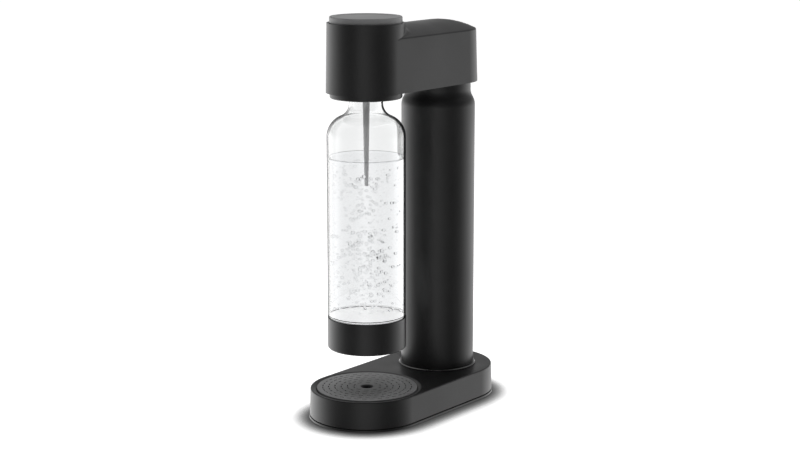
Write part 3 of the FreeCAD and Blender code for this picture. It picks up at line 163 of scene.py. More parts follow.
def rounded(corners, closed=True):
    """An outline whose corners (radius, height, rounding) are turned into short arcs."""
    points = []
    count = len(corners)
    for index, corner in enumerate(corners):
        here = Vector(corner[:2])
        rounding = corner[2] if len(corner) > 2 else 0.0
        at_end = not closed and index in (0, count - 1)
        if rounding == 0.0 or at_end:
            points.append((here.x, here.y))
            continue
        back = (Vector(corners[index - 1][:2]) - here).normalized()
        ahead = (Vector(corners[(index + 1) % count][:2]) - here).normalized()
        half = back.angle(ahead) / 2
        centre = here + (back + ahead).normalized() * rounding / math.sin(half)
        reach = rounding / math.tan(half)
        first = here + back * reach - centre
        turn = first.angle_signed(here + ahead * reach - centre)
        steps = max(2, math.ceil(abs(math.degrees(turn)) / ARC_STEP))
        for step in range(steps + 1):
            angle = -turn * step / steps
            cosine = math.cos(angle)
            sine = math.sin(angle)
            points.append((centre.x + first.x * cosine - first.y * sine,
                           centre.y + first.x * sine + first.y * cosine))
    return points


def arc(centre, radius, start, end, steps):
    """Points on an arc in an outline; angles in degrees from the outward radial direction."""
    points = []
    for step in range(steps + 1):
        angle = math.radians(start + (end - start) * step / steps)
        points.append((centre[0] + radius * math.cos(angle), centre[1] + radius * math.sin(angle)))
    return points


def waist():
    """The column's step in towards the arm: two equal arcs, seen as (radius, height) points."""
    step_in = COLUMN_RADIUS - WAIST_RADIUS
    rise = WAIST_END - WAIST_START
    radius = (rise ** 2 + step_in ** 2) / (4 * step_in)
    sweep = math.degrees(math.asin(rise / 2 / radius))
    lower = arc((COLUMN_RADIUS - radius, WAIST_START), radius, 0.0, sweep, WAIST_STEPS)
    upper = arc((WAIST_RADIUS + radius, WAIST_END), radius, 180.0 + sweep, 180.0, WAIST_STEPS)
    return lower + upper[1:]


def turn_angles(steps, first=0.0, last=360.0):
    """Angles from the rear direction, clockwise from above, in radians."""
    whole = abs(last - first) >= 360.0
    count = steps if whole else steps + 1
    return [math.radians(first + (last - first) * index / steps) for index in range(count)]


def spin(bm, outline, y, angles=None, closed=True):
    """Turn an outline of (radius, height) points about a vertical axis. Only a full turn starts at 0."""
    angles = angles or turn_angles(RING_STEPS)
    wrap = angles[0] == 0.0
    rings = []
    for radius, height in outline:
        if radius < TINY:
            rings.append([bm.verts.new((0.0, y, height))] * len(angles))
        else:
            rings.append([bm.verts.new((radius * math.sin(angle), y + radius * math.cos(angle), height))
                          for angle in angles])
    followers = rings[1:] + (rings[:1] if closed else [])
    columns = len(angles) if wrap else len(angles) - 1
    for lower, upper in zip(rings, followers):
        for index in range(columns):
            after = (index + 1) % len(angles)
            corners = []
            for vertex in (lower[index], lower[after], upper[after], upper[index]):
                if vertex not in corners:
                    corners.append(vertex)
            if len(corners) > 2:
                bm.faces.new(corners)


def bridge(bm, lower, upper, wrap=True):
    """A band of faces between two rings with the same number of vertices."""
    count = len(lower)
    for index in range(count if wrap else count - 1):
        after = (index + 1) % count
        bm.faces.new((lower[index], lower[after], upper[after], upper[index]))


def face_outwards(bm, inside_point):
    """Make an open skin's faces agree and point away from a point behind it."""
    bmesh.ops.recalc_face_normals(bm, faces=bm.faces)
    bm.normal_update()
    lean = sum(face.normal.dot(face.calc_center_median() - inside_point) * face.calc_area()
               for face in bm.faces)
    if lean < 0:
        bmesh.ops.reverse_faces(bm, faces=bm.faces)
        bm.normal_update()


def thicken(bm, depth):
    """Close a skin into a wall: every vertex gets an inner twin, depth(position) behind it."""
    bm.normal_update()
    outer_faces = list(bm.faces)
    border = [edge for edge in bm.edges if edge.is_boundary]
    twins = {}
    for vertex in list(bm.verts):
        back = vertex.normal * depth(vertex.co) * min(vertex.calc_shell_factor(), WALL_STRETCH)
        twins[vertex] = bm.verts.new(vertex.co - back)
    for edge in border:
        loop = edge.link_loops[0]
        start = loop.vert
        end = loop.link_loop_next.vert
        bm.faces.new((end, start, twins[start], twins[end]))
    for face in outer_faces:
        bm.faces.new([twins[vertex] for vertex in reversed(face.verts)])


def make_piece(name, bm, body, material, stands_for=(), edge=0.0, weld=WELD):
    """Turn a bmesh in millimetres into a piece of the model that rides on a CAD body."""
    bmesh.ops.remove_doubles(bm, verts=bm.verts, dist=weld)
    bmesh.ops.recalc_face_normals(bm, faces=bm.faces)
    bmesh.ops.scale(bm, vec=(MM, MM, MM), verts=bm.verts)
    mesh = bpy.data.meshes.new(name)
    bm.to_mesh(mesh)
    bm.free()
    mesh.shade_smooth()
    piece = bpy.data.objects.new(name, mesh)
    bpy.context.scene.collection.objects.link(piece)
    mesh.materials.append(material)
    if edge:
        bevel = piece.modifiers.new("edge", "BEVEL")
        bevel.width = edge * MM
        bevel.segments = EDGE_SEGMENTS
        bevel.limit_method = "ANGLE"
        bevel.angle_limit = math.radians(EDGE_ANGLE)
    flow = piece.modifiers.new("shading", "WEIGHTED_NORMAL")
    flow.keep_sharp = False
    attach(piece, body)
    if stands_for:
        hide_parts(*stands_for)
    return piece


# ---- Materials --------------------------------------------

NOISE_LOW = 0.3        # a noise texture rarely leaves this band
NOISE_HIGH = 0.7
PLASTIC_IOR = 1.5
COAT_ROUGHNESS = 0.12
GRAIN_SCALE = 2600.0   # grains per metre
TARNISH = 0.15
MIX_FIRST = 6          # the colour sockets of a Mix node
MIX_SECOND = 7
MIX_RESULT = 2
# Shade painted onto clear walls seen edge on, in place of the dark surroundings that they bend into view.
RIM_SHADE_COLOUR = (0.16, 0.16, 0.165)
RIM_START = 0.68       # how edge on a clear wall is where its painted shade starts, and where it is darkest
RIM_FULL = 0.82
# Strength of the glow painted into the froth.
FROTH_GLOW = 0.55


def new_material(name):
    """A material with its node tree and its shader."""
    material = bpy.data.materials.new(name)
    material.use_nodes = True
    return material, material.node_tree, material.node_tree.nodes["Principled BSDF"]


def noise(tree, scale, detail=3.0, stretch=(1.0, 1.0, 1.0)):
    """A noise texture in the model's own coordinates; scale is in features per metre."""
    place = tree.nodes.new("ShaderNodeTexCoord")
    mapping = tree.nodes.new("ShaderNodeMapping")
    mapping.inputs["Scale"].default_value = stretch
    texture = tree.nodes.new("ShaderNodeTexNoise")
    texture.inputs["Scale"].default_value = scale
    texture.inputs["Detail"].default_value = detail
    tree.links.new(place.outputs["Object"], mapping.inputs["Vector"])
    tree.links.new(mapping.outputs["Vector"], texture.inputs["Vector"])
    return texture.outputs["Fac"]


def ramp(tree, source, stops):
    """A colour ramp; each stop is (position, colour or grey value)."""
    node = tree.nodes.new("ShaderNodeValToRGB")
    elements = node.color_ramp.elements
    while len(elements) < len(stops):
        elements.new(0.5)
    for element, (position, value) in zip(elements, stops):
        grey = (value, value, value) if isinstance(value, float) else value
        element.position = position
        element.color = (*grey, 1.0)
    tree.links.new(source, node.inputs["Fac"])
    return node.outputs["Color"]


def spread(tree, source, low, high):
    """A noise value mapped onto low..high."""
    node = tree.nodes.new("ShaderNodeMapRange")
    node.inputs["From Min"].default_value = NOISE_LOW
    node.inputs["From Max"].default_value = NOISE_HIGH
    node.inputs["To Min"].default_value = low
    node.inputs["To Max"].default_value = high
    tree.links.new(source, node.inputs["Value"])
    return node.outputs["Result"]


def bump(tree, shader, source, height, strength=1.0, under=None):
    """Relief of a real height in metres; under is an earlier bump to add it to."""
    node = tree.nodes.new("ShaderNodeBump")
    node.inputs["Distance"].default_value = height
    node.inputs["Strength"].default_value = strength
    tree.links.new(source, node.inputs["Height"])
    if under is not None:
        tree.links.new(under, node.inputs["Normal"])
    tree.links.new(node.outputs["Normal"], shader.inputs["Normal"])
    return node.outputs["Normal"]


def blend(tree, factor, first, second, kind="MIX"):
    """Two colours mixed; the factor and the colours are outputs of nodes or constants."""
    node = tree.nodes.new("ShaderNodeMix")
    node.data_type = "RGBA"
    node.blend_type = kind
    for socket, value in (("Factor", factor), (MIX_FIRST, first), (MIX_SECOND, second)):
        if isinstance(value, (float, tuple)):
            node.inputs[socket].default_value = value
        else:
            tree.links.new(value, node.inputs[socket])
    return node.outputs[MIX_RESULT]


def tint(colour, factor):
    """A colour made lighter or darker."""
    return tuple(channel * factor for channel in colour)


def moulded(name, colour, roughness, grain=0.00002, mottle=0.12, polish=0.05, coat=0.0):
    """Moulded plastic: fine spark-eroded grain, faint flow mottling and uneven sheen."""
    material, tree, shader = new_material(name)
    flow = noise(tree, scale=38.0, detail=4.0)
    tree.links.new(ramp(tree, flow, [(NOISE_LOW, tint(colour, 1 - mottle)),
                                     (NOISE_HIGH, tint(colour, 1 + mottle))]), shader.inputs["Base Color"])
    handled = noise(tree, scale=21.0, detail=5.0, stretch=(1.0, 1.0, 0.6))
    tree.links.new(spread(tree, handled, roughness - polish, roughness + polish), shader.inputs["Roughness"])
    shader.inputs["IOR"].default_value = PLASTIC_IOR
    if coat:
        shader.inputs["Coat Weight"].default_value = coat
        shader.inputs["Coat Roughness"].default_value = COAT_ROUGHNESS
    coarse = bump(tree, shader, noise(tree, GRAIN_SCALE / 6, detail=2.0), grain, strength=0.5)
    bump(tree, shader, noise(tree, GRAIN_SCALE, detail=2.0), grain, strength=0.6, under=coarse)
    return material


def metal(name, colour, roughness, brush=(1.0, 1.0, 1.0), brush_scale=900.0, relief=0.00001):
    """Bare or plated metal with drawing or turning marks and slight tarnish."""
    material, tree, shader = new_material(name)
    shader.inputs["Metallic"].default_value = 1.0
    stain = noise(tree, scale=60.0, detail=6.0)
    tree.links.new(ramp(tree, stain, [(0.35, tint(colour, 1 - TARNISH)), (0.65, colour)]),
                   shader.inputs["Base Color"])
    marks = noise(tree, brush_scale, stretch=brush)
    tree.links.new(spread(tree, marks, roughness * 0.75, roughness * 1.3), shader.inputs["Roughness"])
    bump(tree, shader, marks, relief)
    return material


def rubbery(name, colour):
    """Dull rubber with a little dust on it."""
    material, tree, shader = new_material(name)
    dust = noise(tree, scale=150.0, detail=6.0)
    tree.links.new(ramp(tree, dust, [(0.4, colour), (0.75, tint(colour, 1.8))]), shader.inputs["Base Color"])
    tree.links.new(spread(tree, dust, 0.62, 0.8), shader.inputs["Roughness"])
    shader.inputs["Specular IOR Level"].default_value = 0.35
    bump(tree, shader, noise(tree, scale=1700.0), height=0.00006)
    return material


def clear(name, colour, ior, roughness, wave_scale, wave_height, rim=0.0):
    """Clear plastic or liquid that lets lamp light through to what is behind it.
    rim is how strongly shade is painted onto a wall that is seen edge on, standing in for the dark
    surroundings that it bends into view."""
    material, tree, shader = new_material(name)
    shader.inputs["Base Color"].default_value = (*colour, 1.0)
    shader.inputs["Transmission Weight"].default_value = 1.0
    shader.inputs["IOR"].default_value = ior
    haze = noise(tree, scale=90.0, detail=4.0)
    tree.links.new(spread(tree, haze, roughness * 0.5, roughness * 1.5), shader.inputs["Roughness"])
    bump(tree, shader, noise(tree, wave_scale, detail=1.0, stretch=(1.0, 1.0, 0.35)), wave_height)
    path = tree.nodes.new("ShaderNodeLightPath")
    open_way = tree.nodes.new("ShaderNodeBsdfTransparent")
    mix = tree.nodes.new("ShaderNodeMixShader")
    output = tree.nodes["Material Output"]
    tree.links.new(path.outputs["Is Shadow Ray"], mix.inputs["Fac"])
    tree.links.new(open_way.outputs["BSDF"], mix.inputs[2])
    if rim:
        # Painted shade: walls seen edge on turn into a dark see-through tint.
        edge_on = tree.nodes.new("ShaderNodeLayerWeight")
        rim_shade_tint = tree.nodes.new("ShaderNodeBsdfTransparent")
        rim_shade_tint.inputs["Color"].default_value = (*RIM_SHADE_COLOUR, 1.0)
        edge = tree.nodes.new("ShaderNodeMixShader")
        tree.links.new(ramp(tree, edge_on.outputs["Facing"], [(RIM_START, 0.0), (RIM_FULL, rim), (1.0, rim)]),
                       edge.inputs["Fac"])
        tree.links.new(shader.outputs["BSDF"], edge.inputs[1])
        tree.links.new(rim_shade_tint.outputs["BSDF"], edge.inputs[2])
        tree.links.new(edge.outputs["Shader"], mix.inputs[1])
    else:
        tree.links.new(shader.outputs["BSDF"], mix.inputs[1])
    tree.links.new(mix.outputs["Shader"], output.inputs["Surface"])
    return material


BLACK = (0.0105, 0.0105, 0.0108)
finish = {
    "black_shell": moulded("satin_black", BLACK, roughness=0.34),
    "black_trim": moulded("gloss_black", (0.014, 0.014, 0.0145), roughness=0.16, grain=0.000006, polish=0.03,
                          coat=0.6),
    "inner_plastic": moulded("glass_filled_grey", (0.055, 0.055, 0.058), roughness=0.5, grain=0.00004,
                             mottle=0.25),
    "rubber": rubbery("rubber_black", (0.013, 0.013, 0.013)),
    "screw_steel": metal("zinc_steel", (0.58, 0.58, 0.6), roughness=0.32),
    "spring_steel": metal("spring_wire", (0.5, 0.5, 0.52), roughness=0.24, brush=(1.0, 1.0, 8.0)),
    "grey_grille": moulded("satin_grey_grille", (0.225, 0.225, 0.228), roughness=0.42, grain=0.00003),
    "grey_button": moulded("satin_grey_button", (0.18, 0.18, 0.182), roughness=0.4, grain=0.000025,
                           mottle=0.06),
    "nozzle_plastic": moulded("pale_grey_nozzle", (0.95, 0.95, 0.955), roughness=0.35, grain=0.00001,
                              mottle=0.06),
    "valve_brass": metal("turned_brass", (0.72, 0.5, 0.2), roughness=0.26, brush=(1.0, 1.0, 14.0),
                         brush_scale=500.0),
    "frame_metal": metal("coated_sheet", (0.2, 0.2, 0.21), roughness=0.5, brush_scale=1500.0),
    "gas_tube": moulded("gas_line", (0.6, 0.6, 0.58), roughness=0.3, grain=0.000008, mottle=0.05),
    "cylinder_metal": metal("brushed_aluminium", (0.62, 0.63, 0.65), roughness=0.34, brush=(1.0, 1.0, 24.0),
                            brush_scale=420.0, relief=0.000015),
    "clear_bottle": clear("clear_bottle_plastic", (0.985, 0.99, 0.99), ior=1.45, roughness=0.012,
                          wave_scale=60.0, wave_height=0.00006, rim=0.8),
}
water_finish = clear("water", (0.955, 0.958, 0.968), ior=1.03, roughness=0.004, wave_scale=45.0,
                     wave_height=0.0001)
bubble_finish = clear("bubble_skin", (0.97, 0.972, 0.975), ior=1.16, roughness=0.02, wave_scale=400.0,
                      wave_height=0.00001)


def frothy(name):
    """A dense mass of tiny bubbles: white and soft, with a glow painted in as emission to brighten it where
    little lamp light reaches.
    """
    material, tree, shader = new_material(name)
    cells = noise(tree, scale=520.0, detail=5.0)
    tree.links.new(ramp(tree, cells, [(0.3, 0.82), (0.6, 0.93)]), shader.inputs["Base Color"])
    tree.links.new(spread(tree, cells, 0.55, 0.75), shader.inputs["Roughness"])
    shader.inputs["Specular IOR Level"].default_value = 0.2
    # Painted glow: the froth gives off light of its own.
    tree.links.new(ramp(tree, cells, [(0.3, 0.86), (0.6, 0.97)]), shader.inputs["Emission Color"])
    shader.inputs["Emission Strength"].default_value = FROTH_GLOW
    bump(tree, shader, cells, height=0.0002, strength=0.5)
    return material


froth_finish = frothy("froth")


def stand_in(name, bm, body, slot, node, edge=0.0, weld=WELD):
    """A piece that stands for a CAD node and has the finish of its slot."""
    return make_piece(name, bm, body, finish[slot], [node], edge, weld)


def turned(name, outline, body, slot, node, y=HEAD_Y, angles=None):
    """A piece turned from an outline that stands for a CAD node."""
    bm = bmesh.new()
    spin(bm, outline, y, angles)
    return stand_in(name, bm, body, slot, node)


slot_of = {part["node"]: part["material_slot"] for part in frame["record"]["subparts"]}
for name, node in frame["nodes"].items():
    node.data.materials.clear()
    node.data.materials.append(finish[slot_of[name]])


# ---- Base -------------------------------------------------

END_STEPS = 60
FOOT_CHAMFER = 0.35
# The dish from its rim inwards: (distance from the rim, depth).
DISH_SLOPE = [(0.0, 0.0), (0.9, 0.12), (1.8, 0.45)]
# The rounded edge where the dish falls into the pocket: (distance from the pocket's wall, depth).
POCKET_EDGE = [(0.5, 0.0), (0.15, 0.15), (0.0, 0.5)]
# The rounded corner at the pocket's floor: (distance from the wall, height).
POCKET_CORNER = [(0.0, 1.0), (0.3, 0.3), (1.0, 0.0)]


def stadium_ring(bm, radius, z):
    """A round-ended ring of vertices about the bottle axis and the column axis."""
    ring = []
    for centre, start in ((COLUMN_Y, -90.0), (HEAD_Y, 90.0)):
        for step in range(END_STEPS + 1):
            angle = math.radians(start + 180.0 * step / END_STEPS)
            ring.append(bm.verts.new((radius * math.sin(angle), centre + radius * math.cos(angle), z)))
    return ring


def flat_fill(bm, rings):
    """Fill the flat area between an outer ring and the round holes in it."""
    edges = []
    for ring in rings:
        for vertex, after in zip(ring, ring[1:] + ring[:1]):
            edges.append(bm.edges.get((vertex, after)) or bm.edges.new((vertex, after)))
    bmesh.ops.triangle_fill(bm, edges=edges, use_beauty=True)


def round_ring(bm, radius, z, y):
    """A round ring of vertices."""
    return [bm.verts.new((radius * math.sin(angle), y + radius * math.cos(angle), z))
            for angle in turn_angles(RING_STEPS)]


def stack(bm, rings):
    """Bands of faces between rings that follow each other; the rings come back."""
    for lower, upper in zip(rings, rings[1:]):
        bridge(bm, lower, upper)
    return rings


def make_base_shell():
    bm = bmesh.new()
    inner_radius = BASE_TOP_RADIUS - BASE_WALL
    ceiling = BASE_TOP - BASE_WALL
    side = [(inner_radius, base_low.z), (BASE_FOOT_RADIUS - FOOT_CHAMFER, base_low.z)]
    side += [(BASE_FOOT_RADIUS, base_low.z + FOOT_CHAMFER), (BASE_TOP_RADIUS, BASE_TOP - BASE_EDGE)]
    side += arc((BASE_TOP_RADIUS - BASE_EDGE, BASE_TOP - BASE_EDGE), BASE_EDGE, 15.0, 90.0, 5)
    outside = stack(bm, [stadium_ring(bm, radius, z) for radius, z in side])
    dish = [(DISH_RIM_RADIUS - inwards, BASE_TOP - depth) for inwards, depth in DISH_SLOPE]
    dish += [(POCKET_RADIUS + outwards, BASE_TOP - DISH_DROP - depth) for outwards, depth in POCKET_EDGE]
    dish += [(POCKET_RADIUS - inwards, POCKET_FLOOR + rise) for inwards, rise in POCKET_CORNER]
    pocket = stack(bm, [round_ring(bm, radius, z, HEAD_Y) for radius, z in dish])
    bm.faces.new(pocket[-1])
    opening = stack(bm, [round_ring(bm, COLUMN_OPENING, z, COLUMN_Y) for z in (BASE_TOP, ceiling)])
    flat_fill(bm, [outside[-1], pocket[0], opening[0]])
    inside = stack(bm, [stadium_ring(bm, inner_radius, z) for z in (base_low.z, ceiling)])
    under = stack(bm, [round_ring(bm, POCKET_RADIUS + POCKET_WALL, z, HEAD_Y)
                       for z in (ceiling, POCKET_FLOOR - POCKET_WALL)])
    bm.faces.new(under[-1])
    flat_fill(bm, [inside[-1], under[0], opening[-1]])
    stand_in("base_casing", bm, "machine", "black_shell", "base_shell")


def make_drip_tray():
    wall = 1.8
    radius = tray_high.x
    outline = rounded([
        (0.0, tray_low.z), (radius, tray_low.z, 2.0), (radius, tray_high.z, 0.4),
        (radius - wall, tray_high.z, 0.4), (radius - wall, tray_low.z + wall, 2.0), (0.0, tray_low.z + wall),
    ])
    turned("drip_bowl", outline, "drip_tray", "black_shell", "drip_tray")


# ---- Column -----------------------------------------------

COLUMN_ROWS = [120.0, 220.0]                     # heights of the rows that divide the long straight part
INSIDE_COLUMN = Vector((0.0, COLUMN_Y, 200.0))
COLUMN_EDGE = 0.35


def make_column_shell():
    outline = [(COLUMN_RADIUS, z) for z in [column_low.z] + COLUMN_ROWS]
    outline += waist() + [(WAIST_RADIUS, column_high.z)]
    bm = bmesh.new()
    around = turn_angles(96, COVER_HALF_ANGLE, 360.0 - COVER_HALF_ANGLE)
    spin(bm, outline, COLUMN_Y, angles=around, closed=False)
    face_outwards(bm, INSIDE_COLUMN)
    thicken(bm, lambda place: COLUMN_WALL)
    stand_in("column_casing", bm, "machine", "black_shell", "column_shell", edge=COLUMN_EDGE)


def make_rear_cover():
    half = COVER_HALF_ANGLE - math.degrees(SEAM / COLUMN_RADIUS)
    top_radius = rear_radius(COVER_TOP)
    outline = [(COLUMN_RADIUS, z) for z in [cover_low.z] + COLUMN_ROWS]
    outline += waist() + [(WAIST_RADIUS, ARM_BOTTOM), (ARM_FOOT_RADIUS, ARM_BOTTOM), (top_radius, COVER_TOP)]
    bm = bmesh.new()
    spin(bm, outline, COLUMN_Y, angles=turn_angles(48, -half, half), closed=False)
    face_outwards(bm, INSIDE_COLUMN)
    thicken(bm, lambda place: COLUMN_WALL)
    stand_in("rear_casing", bm, "rear_cover", "black_shell", "rear_cover", edge=COLUMN_EDGE)


def make_foot_ring():
    radius = ring_high.x
    outline = rounded([
        (COLUMN_OPENING, ring_low.z), (radius, ring_low.z, 0.2), (radius, ring_low.z + 0.9, 0.3),
        (radius - 1.0, ring_high.z, 0.4), (COLUMN_OPENING, ring_high.z, 0.3),
    ])
    turned("column_trim_ring", outline, "machine", "black_trim", "column_foot_ring", COLUMN_Y)


# ---- Head and arm -----------------------------------------

HEAD_STEP = 3          # degrees between the columns of vertices on the head
REAR_STEP = 4
SIDE_END = 70          # degrees from the head's axis to where the arm's round rear starts
UPPER_ROWS = 8
FILLET_STEPS = 6
TOP_STEPS = 14
EDGE_STEPS = 7
PROFILE_POINTS = FILLET_STEPS + TOP_STEPS + EDGE_STEPS + 1
FILLET_SHARE = 0.45    # most of the free width that the fillet beside the head may take
NARROW = 0.02
RIM_BLEND = 4.0        # height over which the wall thins from the arm's to the head's rim
INSIDE_HEAD = Vector((0.0, 0.0, 365.0))
EDGE_Z = 393.3
ARM_ROWS = [ARM_BOTTOM, 348.0, 360.0, COVER_TOP + SEAM, 384.0, EDGE_Z]


def head_radius(z):
    """Outer radius of the head at a height."""
    share = (z - head_low.z) / (head_high.z - head_low.z)
    return HEAD_FOOT_RADIUS + share * (HEAD_RIM_RADIUS - HEAD_FOOT_RADIUS)


def rear_radius(z):
    """Outer radius of the arm's round rear at a height."""
    share = (z - ARM_BOTTOM) / (head_high.z - ARM_BOTTOM)
    return ARM_FOOT_RADIUS + share * (ARM_TIP_RADIUS - ARM_FOOT_RADIUS)


def crown(turn, reach):
    """Height of the arm's arched top at a direction and distance from the head's axis."""
    across = reach * math.cos(turn)
    beyond = max(0.0, reach * math.sin(turn) - AXIS_GAP)
    return ARM_CREST - ARM_ARCH + math.sqrt(ARM_ARCH ** 2 - across ** 2 - beyond ** 2)


def side_reach(turn, inset):
    """How far from the head's axis a direction meets the arm's plan outline moved in by inset."""
    taper = (rear_radius(EDGE_Z) - head_radius(EDGE_Z)) / AXIS_GAP
    across = abs(math.cos(turn))
    along = math.sin(turn)
    if across > TINY:
        reach = (head_radius(EDGE_Z) - inset) / (across - taper * along)
        if 0.0 < reach and reach * along <= AXIS_GAP:
            return reach
    radius = rear_radius(EDGE_Z) - inset
    return AXIS_GAP * along + math.sqrt(max(0.0, radius ** 2 - (AXIS_GAP * across) ** 2))


def inset_at(turn, reach):
    """How far inside the arm's plan outline a point stands."""
    x = reach * abs(math.cos(turn))
    y = reach * math.sin(turn)
    if y > AXIS_GAP:
        return rear_radius(EDGE_Z) - math.hypot(x, y - AXIS_GAP)
    share = y / AXIS_GAP
    return head_radius(EDGE_Z) + share * (rear_radius(EDGE_Z) - head_radius(EDGE_Z)) - x


def arm_columns():
    """The arm's columns of vertices from the right of the head round the rear to its left:
    each is (direction from the head's axis, plan position at a height)."""
    columns = []

    def along_side(side, share):
        def place(z):
            x = head_radius(z) + share * (rear_radius(z) - head_radius(z))
            return (side * x, HEAD_Y + share * AXIS_GAP)
        return place

    def round_end(angle):
        def place(z):
            return (rear_radius(z) * math.sin(angle), COLUMN_Y + rear_radius(z) * math.cos(angle))
        return place

    shares = []
    for degrees in range(0, SIDE_END, HEAD_STEP):
        turn = math.radians(degrees)
        shares.append(side_reach(turn, 0.0) * math.sin(turn) / AXIS_GAP)
    columns += [along_side(1, share) for share in shares]
    columns += [round_end(math.radians(angle)) for angle in range(90, -91, -REAR_STEP)]
    columns += [along_side(-1, share) for share in reversed(shares)]
    result = []
    for place in columns:
        x, y = place(EDGE_Z)
        result.append((math.atan2(y - HEAD_Y, x), place))
    return result


def top_profile(turn):
    """(reach, height) points over the arm's top, from the head's rear wall out to the arm's edge."""
    wall = head_radius(EDGE_Z)
    width = side_reach(turn, 0.0) - wall
    if width < NARROW:
        return [(wall, EDGE_Z)] * PROFILE_POINTS
    fillet = min(STEP_FILLET, FILLET_SHARE * width)
    reaches = [wall + fillet * (1 - math.cos(math.radians(90 / FILLET_STEPS * step)))
               for step in range(FILLET_STEPS)]
    reaches.append(wall + fillet)
    edge_inset = min(ARM_EDGE, inset_at(turn, wall + fillet))
    edge_start = side_reach(turn, edge_inset)
    open_top = edge_start - wall - fillet
    reaches += [wall + fillet + open_top * step / TOP_STEPS for step in range(1, TOP_STEPS)]
    full = math.acos(1 - edge_inset / ARM_EDGE)
    reaches += [side_reach(turn, ARM_EDGE * (1 - math.cos(full * step / EDGE_STEPS)))
                for step in range(EDGE_STEPS, -1, -1)]
    profile = []
    for reach in reaches:
        inside = min(max(inset_at(turn, reach), 0.0), ARM_EDGE)
        drop = ARM_EDGE - math.sqrt(ARM_EDGE ** 2 - (ARM_EDGE - inside) ** 2)
        from_wall = min(max(reach - wall, 0.0), fillet)
        lift = fillet - math.sqrt(fillet ** 2 - (fillet - from_wall) ** 2)
        profile.append((reach, crown(turn, reach) - drop + lift))
    first_z = profile[0][1]
    profile[0] = (head_radius(first_z), first_z)
    profile[-1] = (side_reach(turn, 0.0), EDGE_Z)
    return profile


def make_head_shell():
    bm = bmesh.new()
    rim_step = (head_high.z - EDGE_Z) / UPPER_ROWS
    front_heights = [head_low.z] + ARM_ROWS + [EDGE_Z + rim_step * row for row in range(1, UPPER_ROWS + 1)]
    front = []
    for degrees in range(-180, 1, HEAD_STEP):
        turn = math.radians(degrees)
        cosine = math.cos(turn)
        sine = math.sin(turn)
        front.append([bm.verts.new((head_radius(z) * cosine, HEAD_Y + head_radius(z) * sine, z))
                      for z in front_heights])
    for left, right in zip(front, front[1:]):
        bridge(bm, left, right, wrap=False)

    columns = arm_columns()
    sides = []
    for _, place in columns:
        sides.append([bm.verts.new((*place(z), z)) for z in ARM_ROWS])
    cover_z = COVER_TOP + SEAM
    cover_edge = COLUMN_Y + math.cos(math.radians(COVER_HALF_ANGLE)) * rear_radius(EDGE_Z) - 0.5
    for left, right in zip(sides, sides[1:]):
        for row in range(len(ARM_ROWS) - 1):
            behind = min(left[row].co.y, right[row].co.y) > cover_edge
            if behind and ARM_ROWS[row + 1] <= cover_z:
                continue
            bm.faces.new((left[row], right[row], right[row + 1], left[row + 1]))

    tops = []
    uprights = []
    for turn, _ in columns:
        cosine = math.cos(turn)
        sine = math.sin(turn)
        profile = top_profile(turn)
        tops.append([bm.verts.new((reach * cosine, HEAD_Y + reach * sine, z)) for reach, z in profile])
        start = profile[0][1]
        upright = []
        for row in range(UPPER_ROWS + 1):
            z = start + (head_high.z - start) * row / UPPER_ROWS
            upright.append(bm.verts.new((head_radius(z) * cosine, HEAD_Y + head_radius(z) * sine, z)))
        uprights.append(upright)
    for rows in (tops, uprights):
        for left, right in zip(rows, rows[1:]):
            bridge(bm, left, right, wrap=False)

    bmesh.ops.remove_doubles(bm, verts=bm.verts, dist=NARROW)
    loose = [vertex for vertex in bm.verts if not vertex.link_faces]
    bmesh.ops.delete(bm, geom=loose, context="VERTS")
    face_outwards(bm, INSIDE_HEAD)

    def depth(place):
        near_rim = min(max((place.z - ARM_CREST) / RIM_BLEND, 0.0), 1.0)
        return HEAD_WALL + (RIM_WALL - HEAD_WALL) * near_rim

    thicken(bm, depth)
    stand_in("head_casing", bm, "machine", "black_shell", "head_shell", edge=0.4)


def make_collar():
    bore = 21.0
    radius = collar_high.x
    outline = rounded([(bore, collar_low.z, 0.5), (radius, collar_low.z, 1.6), (radius, COLLAR_TOP, 0.3),
                       (COLLAR_SPIGOT_RADIUS, COLLAR_TOP), (COLLAR_SPIGOT_RADIUS, collar_high.z),
                       (bore, collar_high.z)])
    turned("neck_collar", outline, "machine", "black_shell", "head_collar")


def make_button():
    radius = button_high.x
    top = button_high.z
    dish = 29.5
    floor = top - 0.35
    skirt = top - 11.0
    wall = 2.0
    under = top - 2.4
    stem = 6.0
    outline = rounded([
        (0.0, floor), (dish - 0.4, floor, 0.3), (dish + 0.2, top, 0.3), (radius, top, 1.2),
        (radius, skirt, 0.3), (radius - wall, skirt, 0.3), (radius - wall, under, 0.8), (stem, under, 0.8),
        (stem, button_low.z, 0.4), (0.0, button_low.z),
    ])
    turned("press_button", outline, "button", "grey_button", "button_cap")


def make_nozzle():
    top_radius = 3.6
    tip = 1.9
    bore = 0.7
    taper = 326.0
    outline = rounded([
        (bore, nozzle_high.z, 0.15), (top_radius, nozzle_high.z, 0.3), (top_radius, taper, 30.0),
        (tip, nozzle_low.z, 1.0), (bore, nozzle_low.z, 0.15),
    ])
    turned("dip_nozzle", outline, "machine", "nozzle_plastic", "nozzle", angles=turn_angles(48))


COIL_STEPS = 36        # rings of vertices in a turn
FLAT_TURN = 0.4        # share of a turn that lies flat at each end of a coil


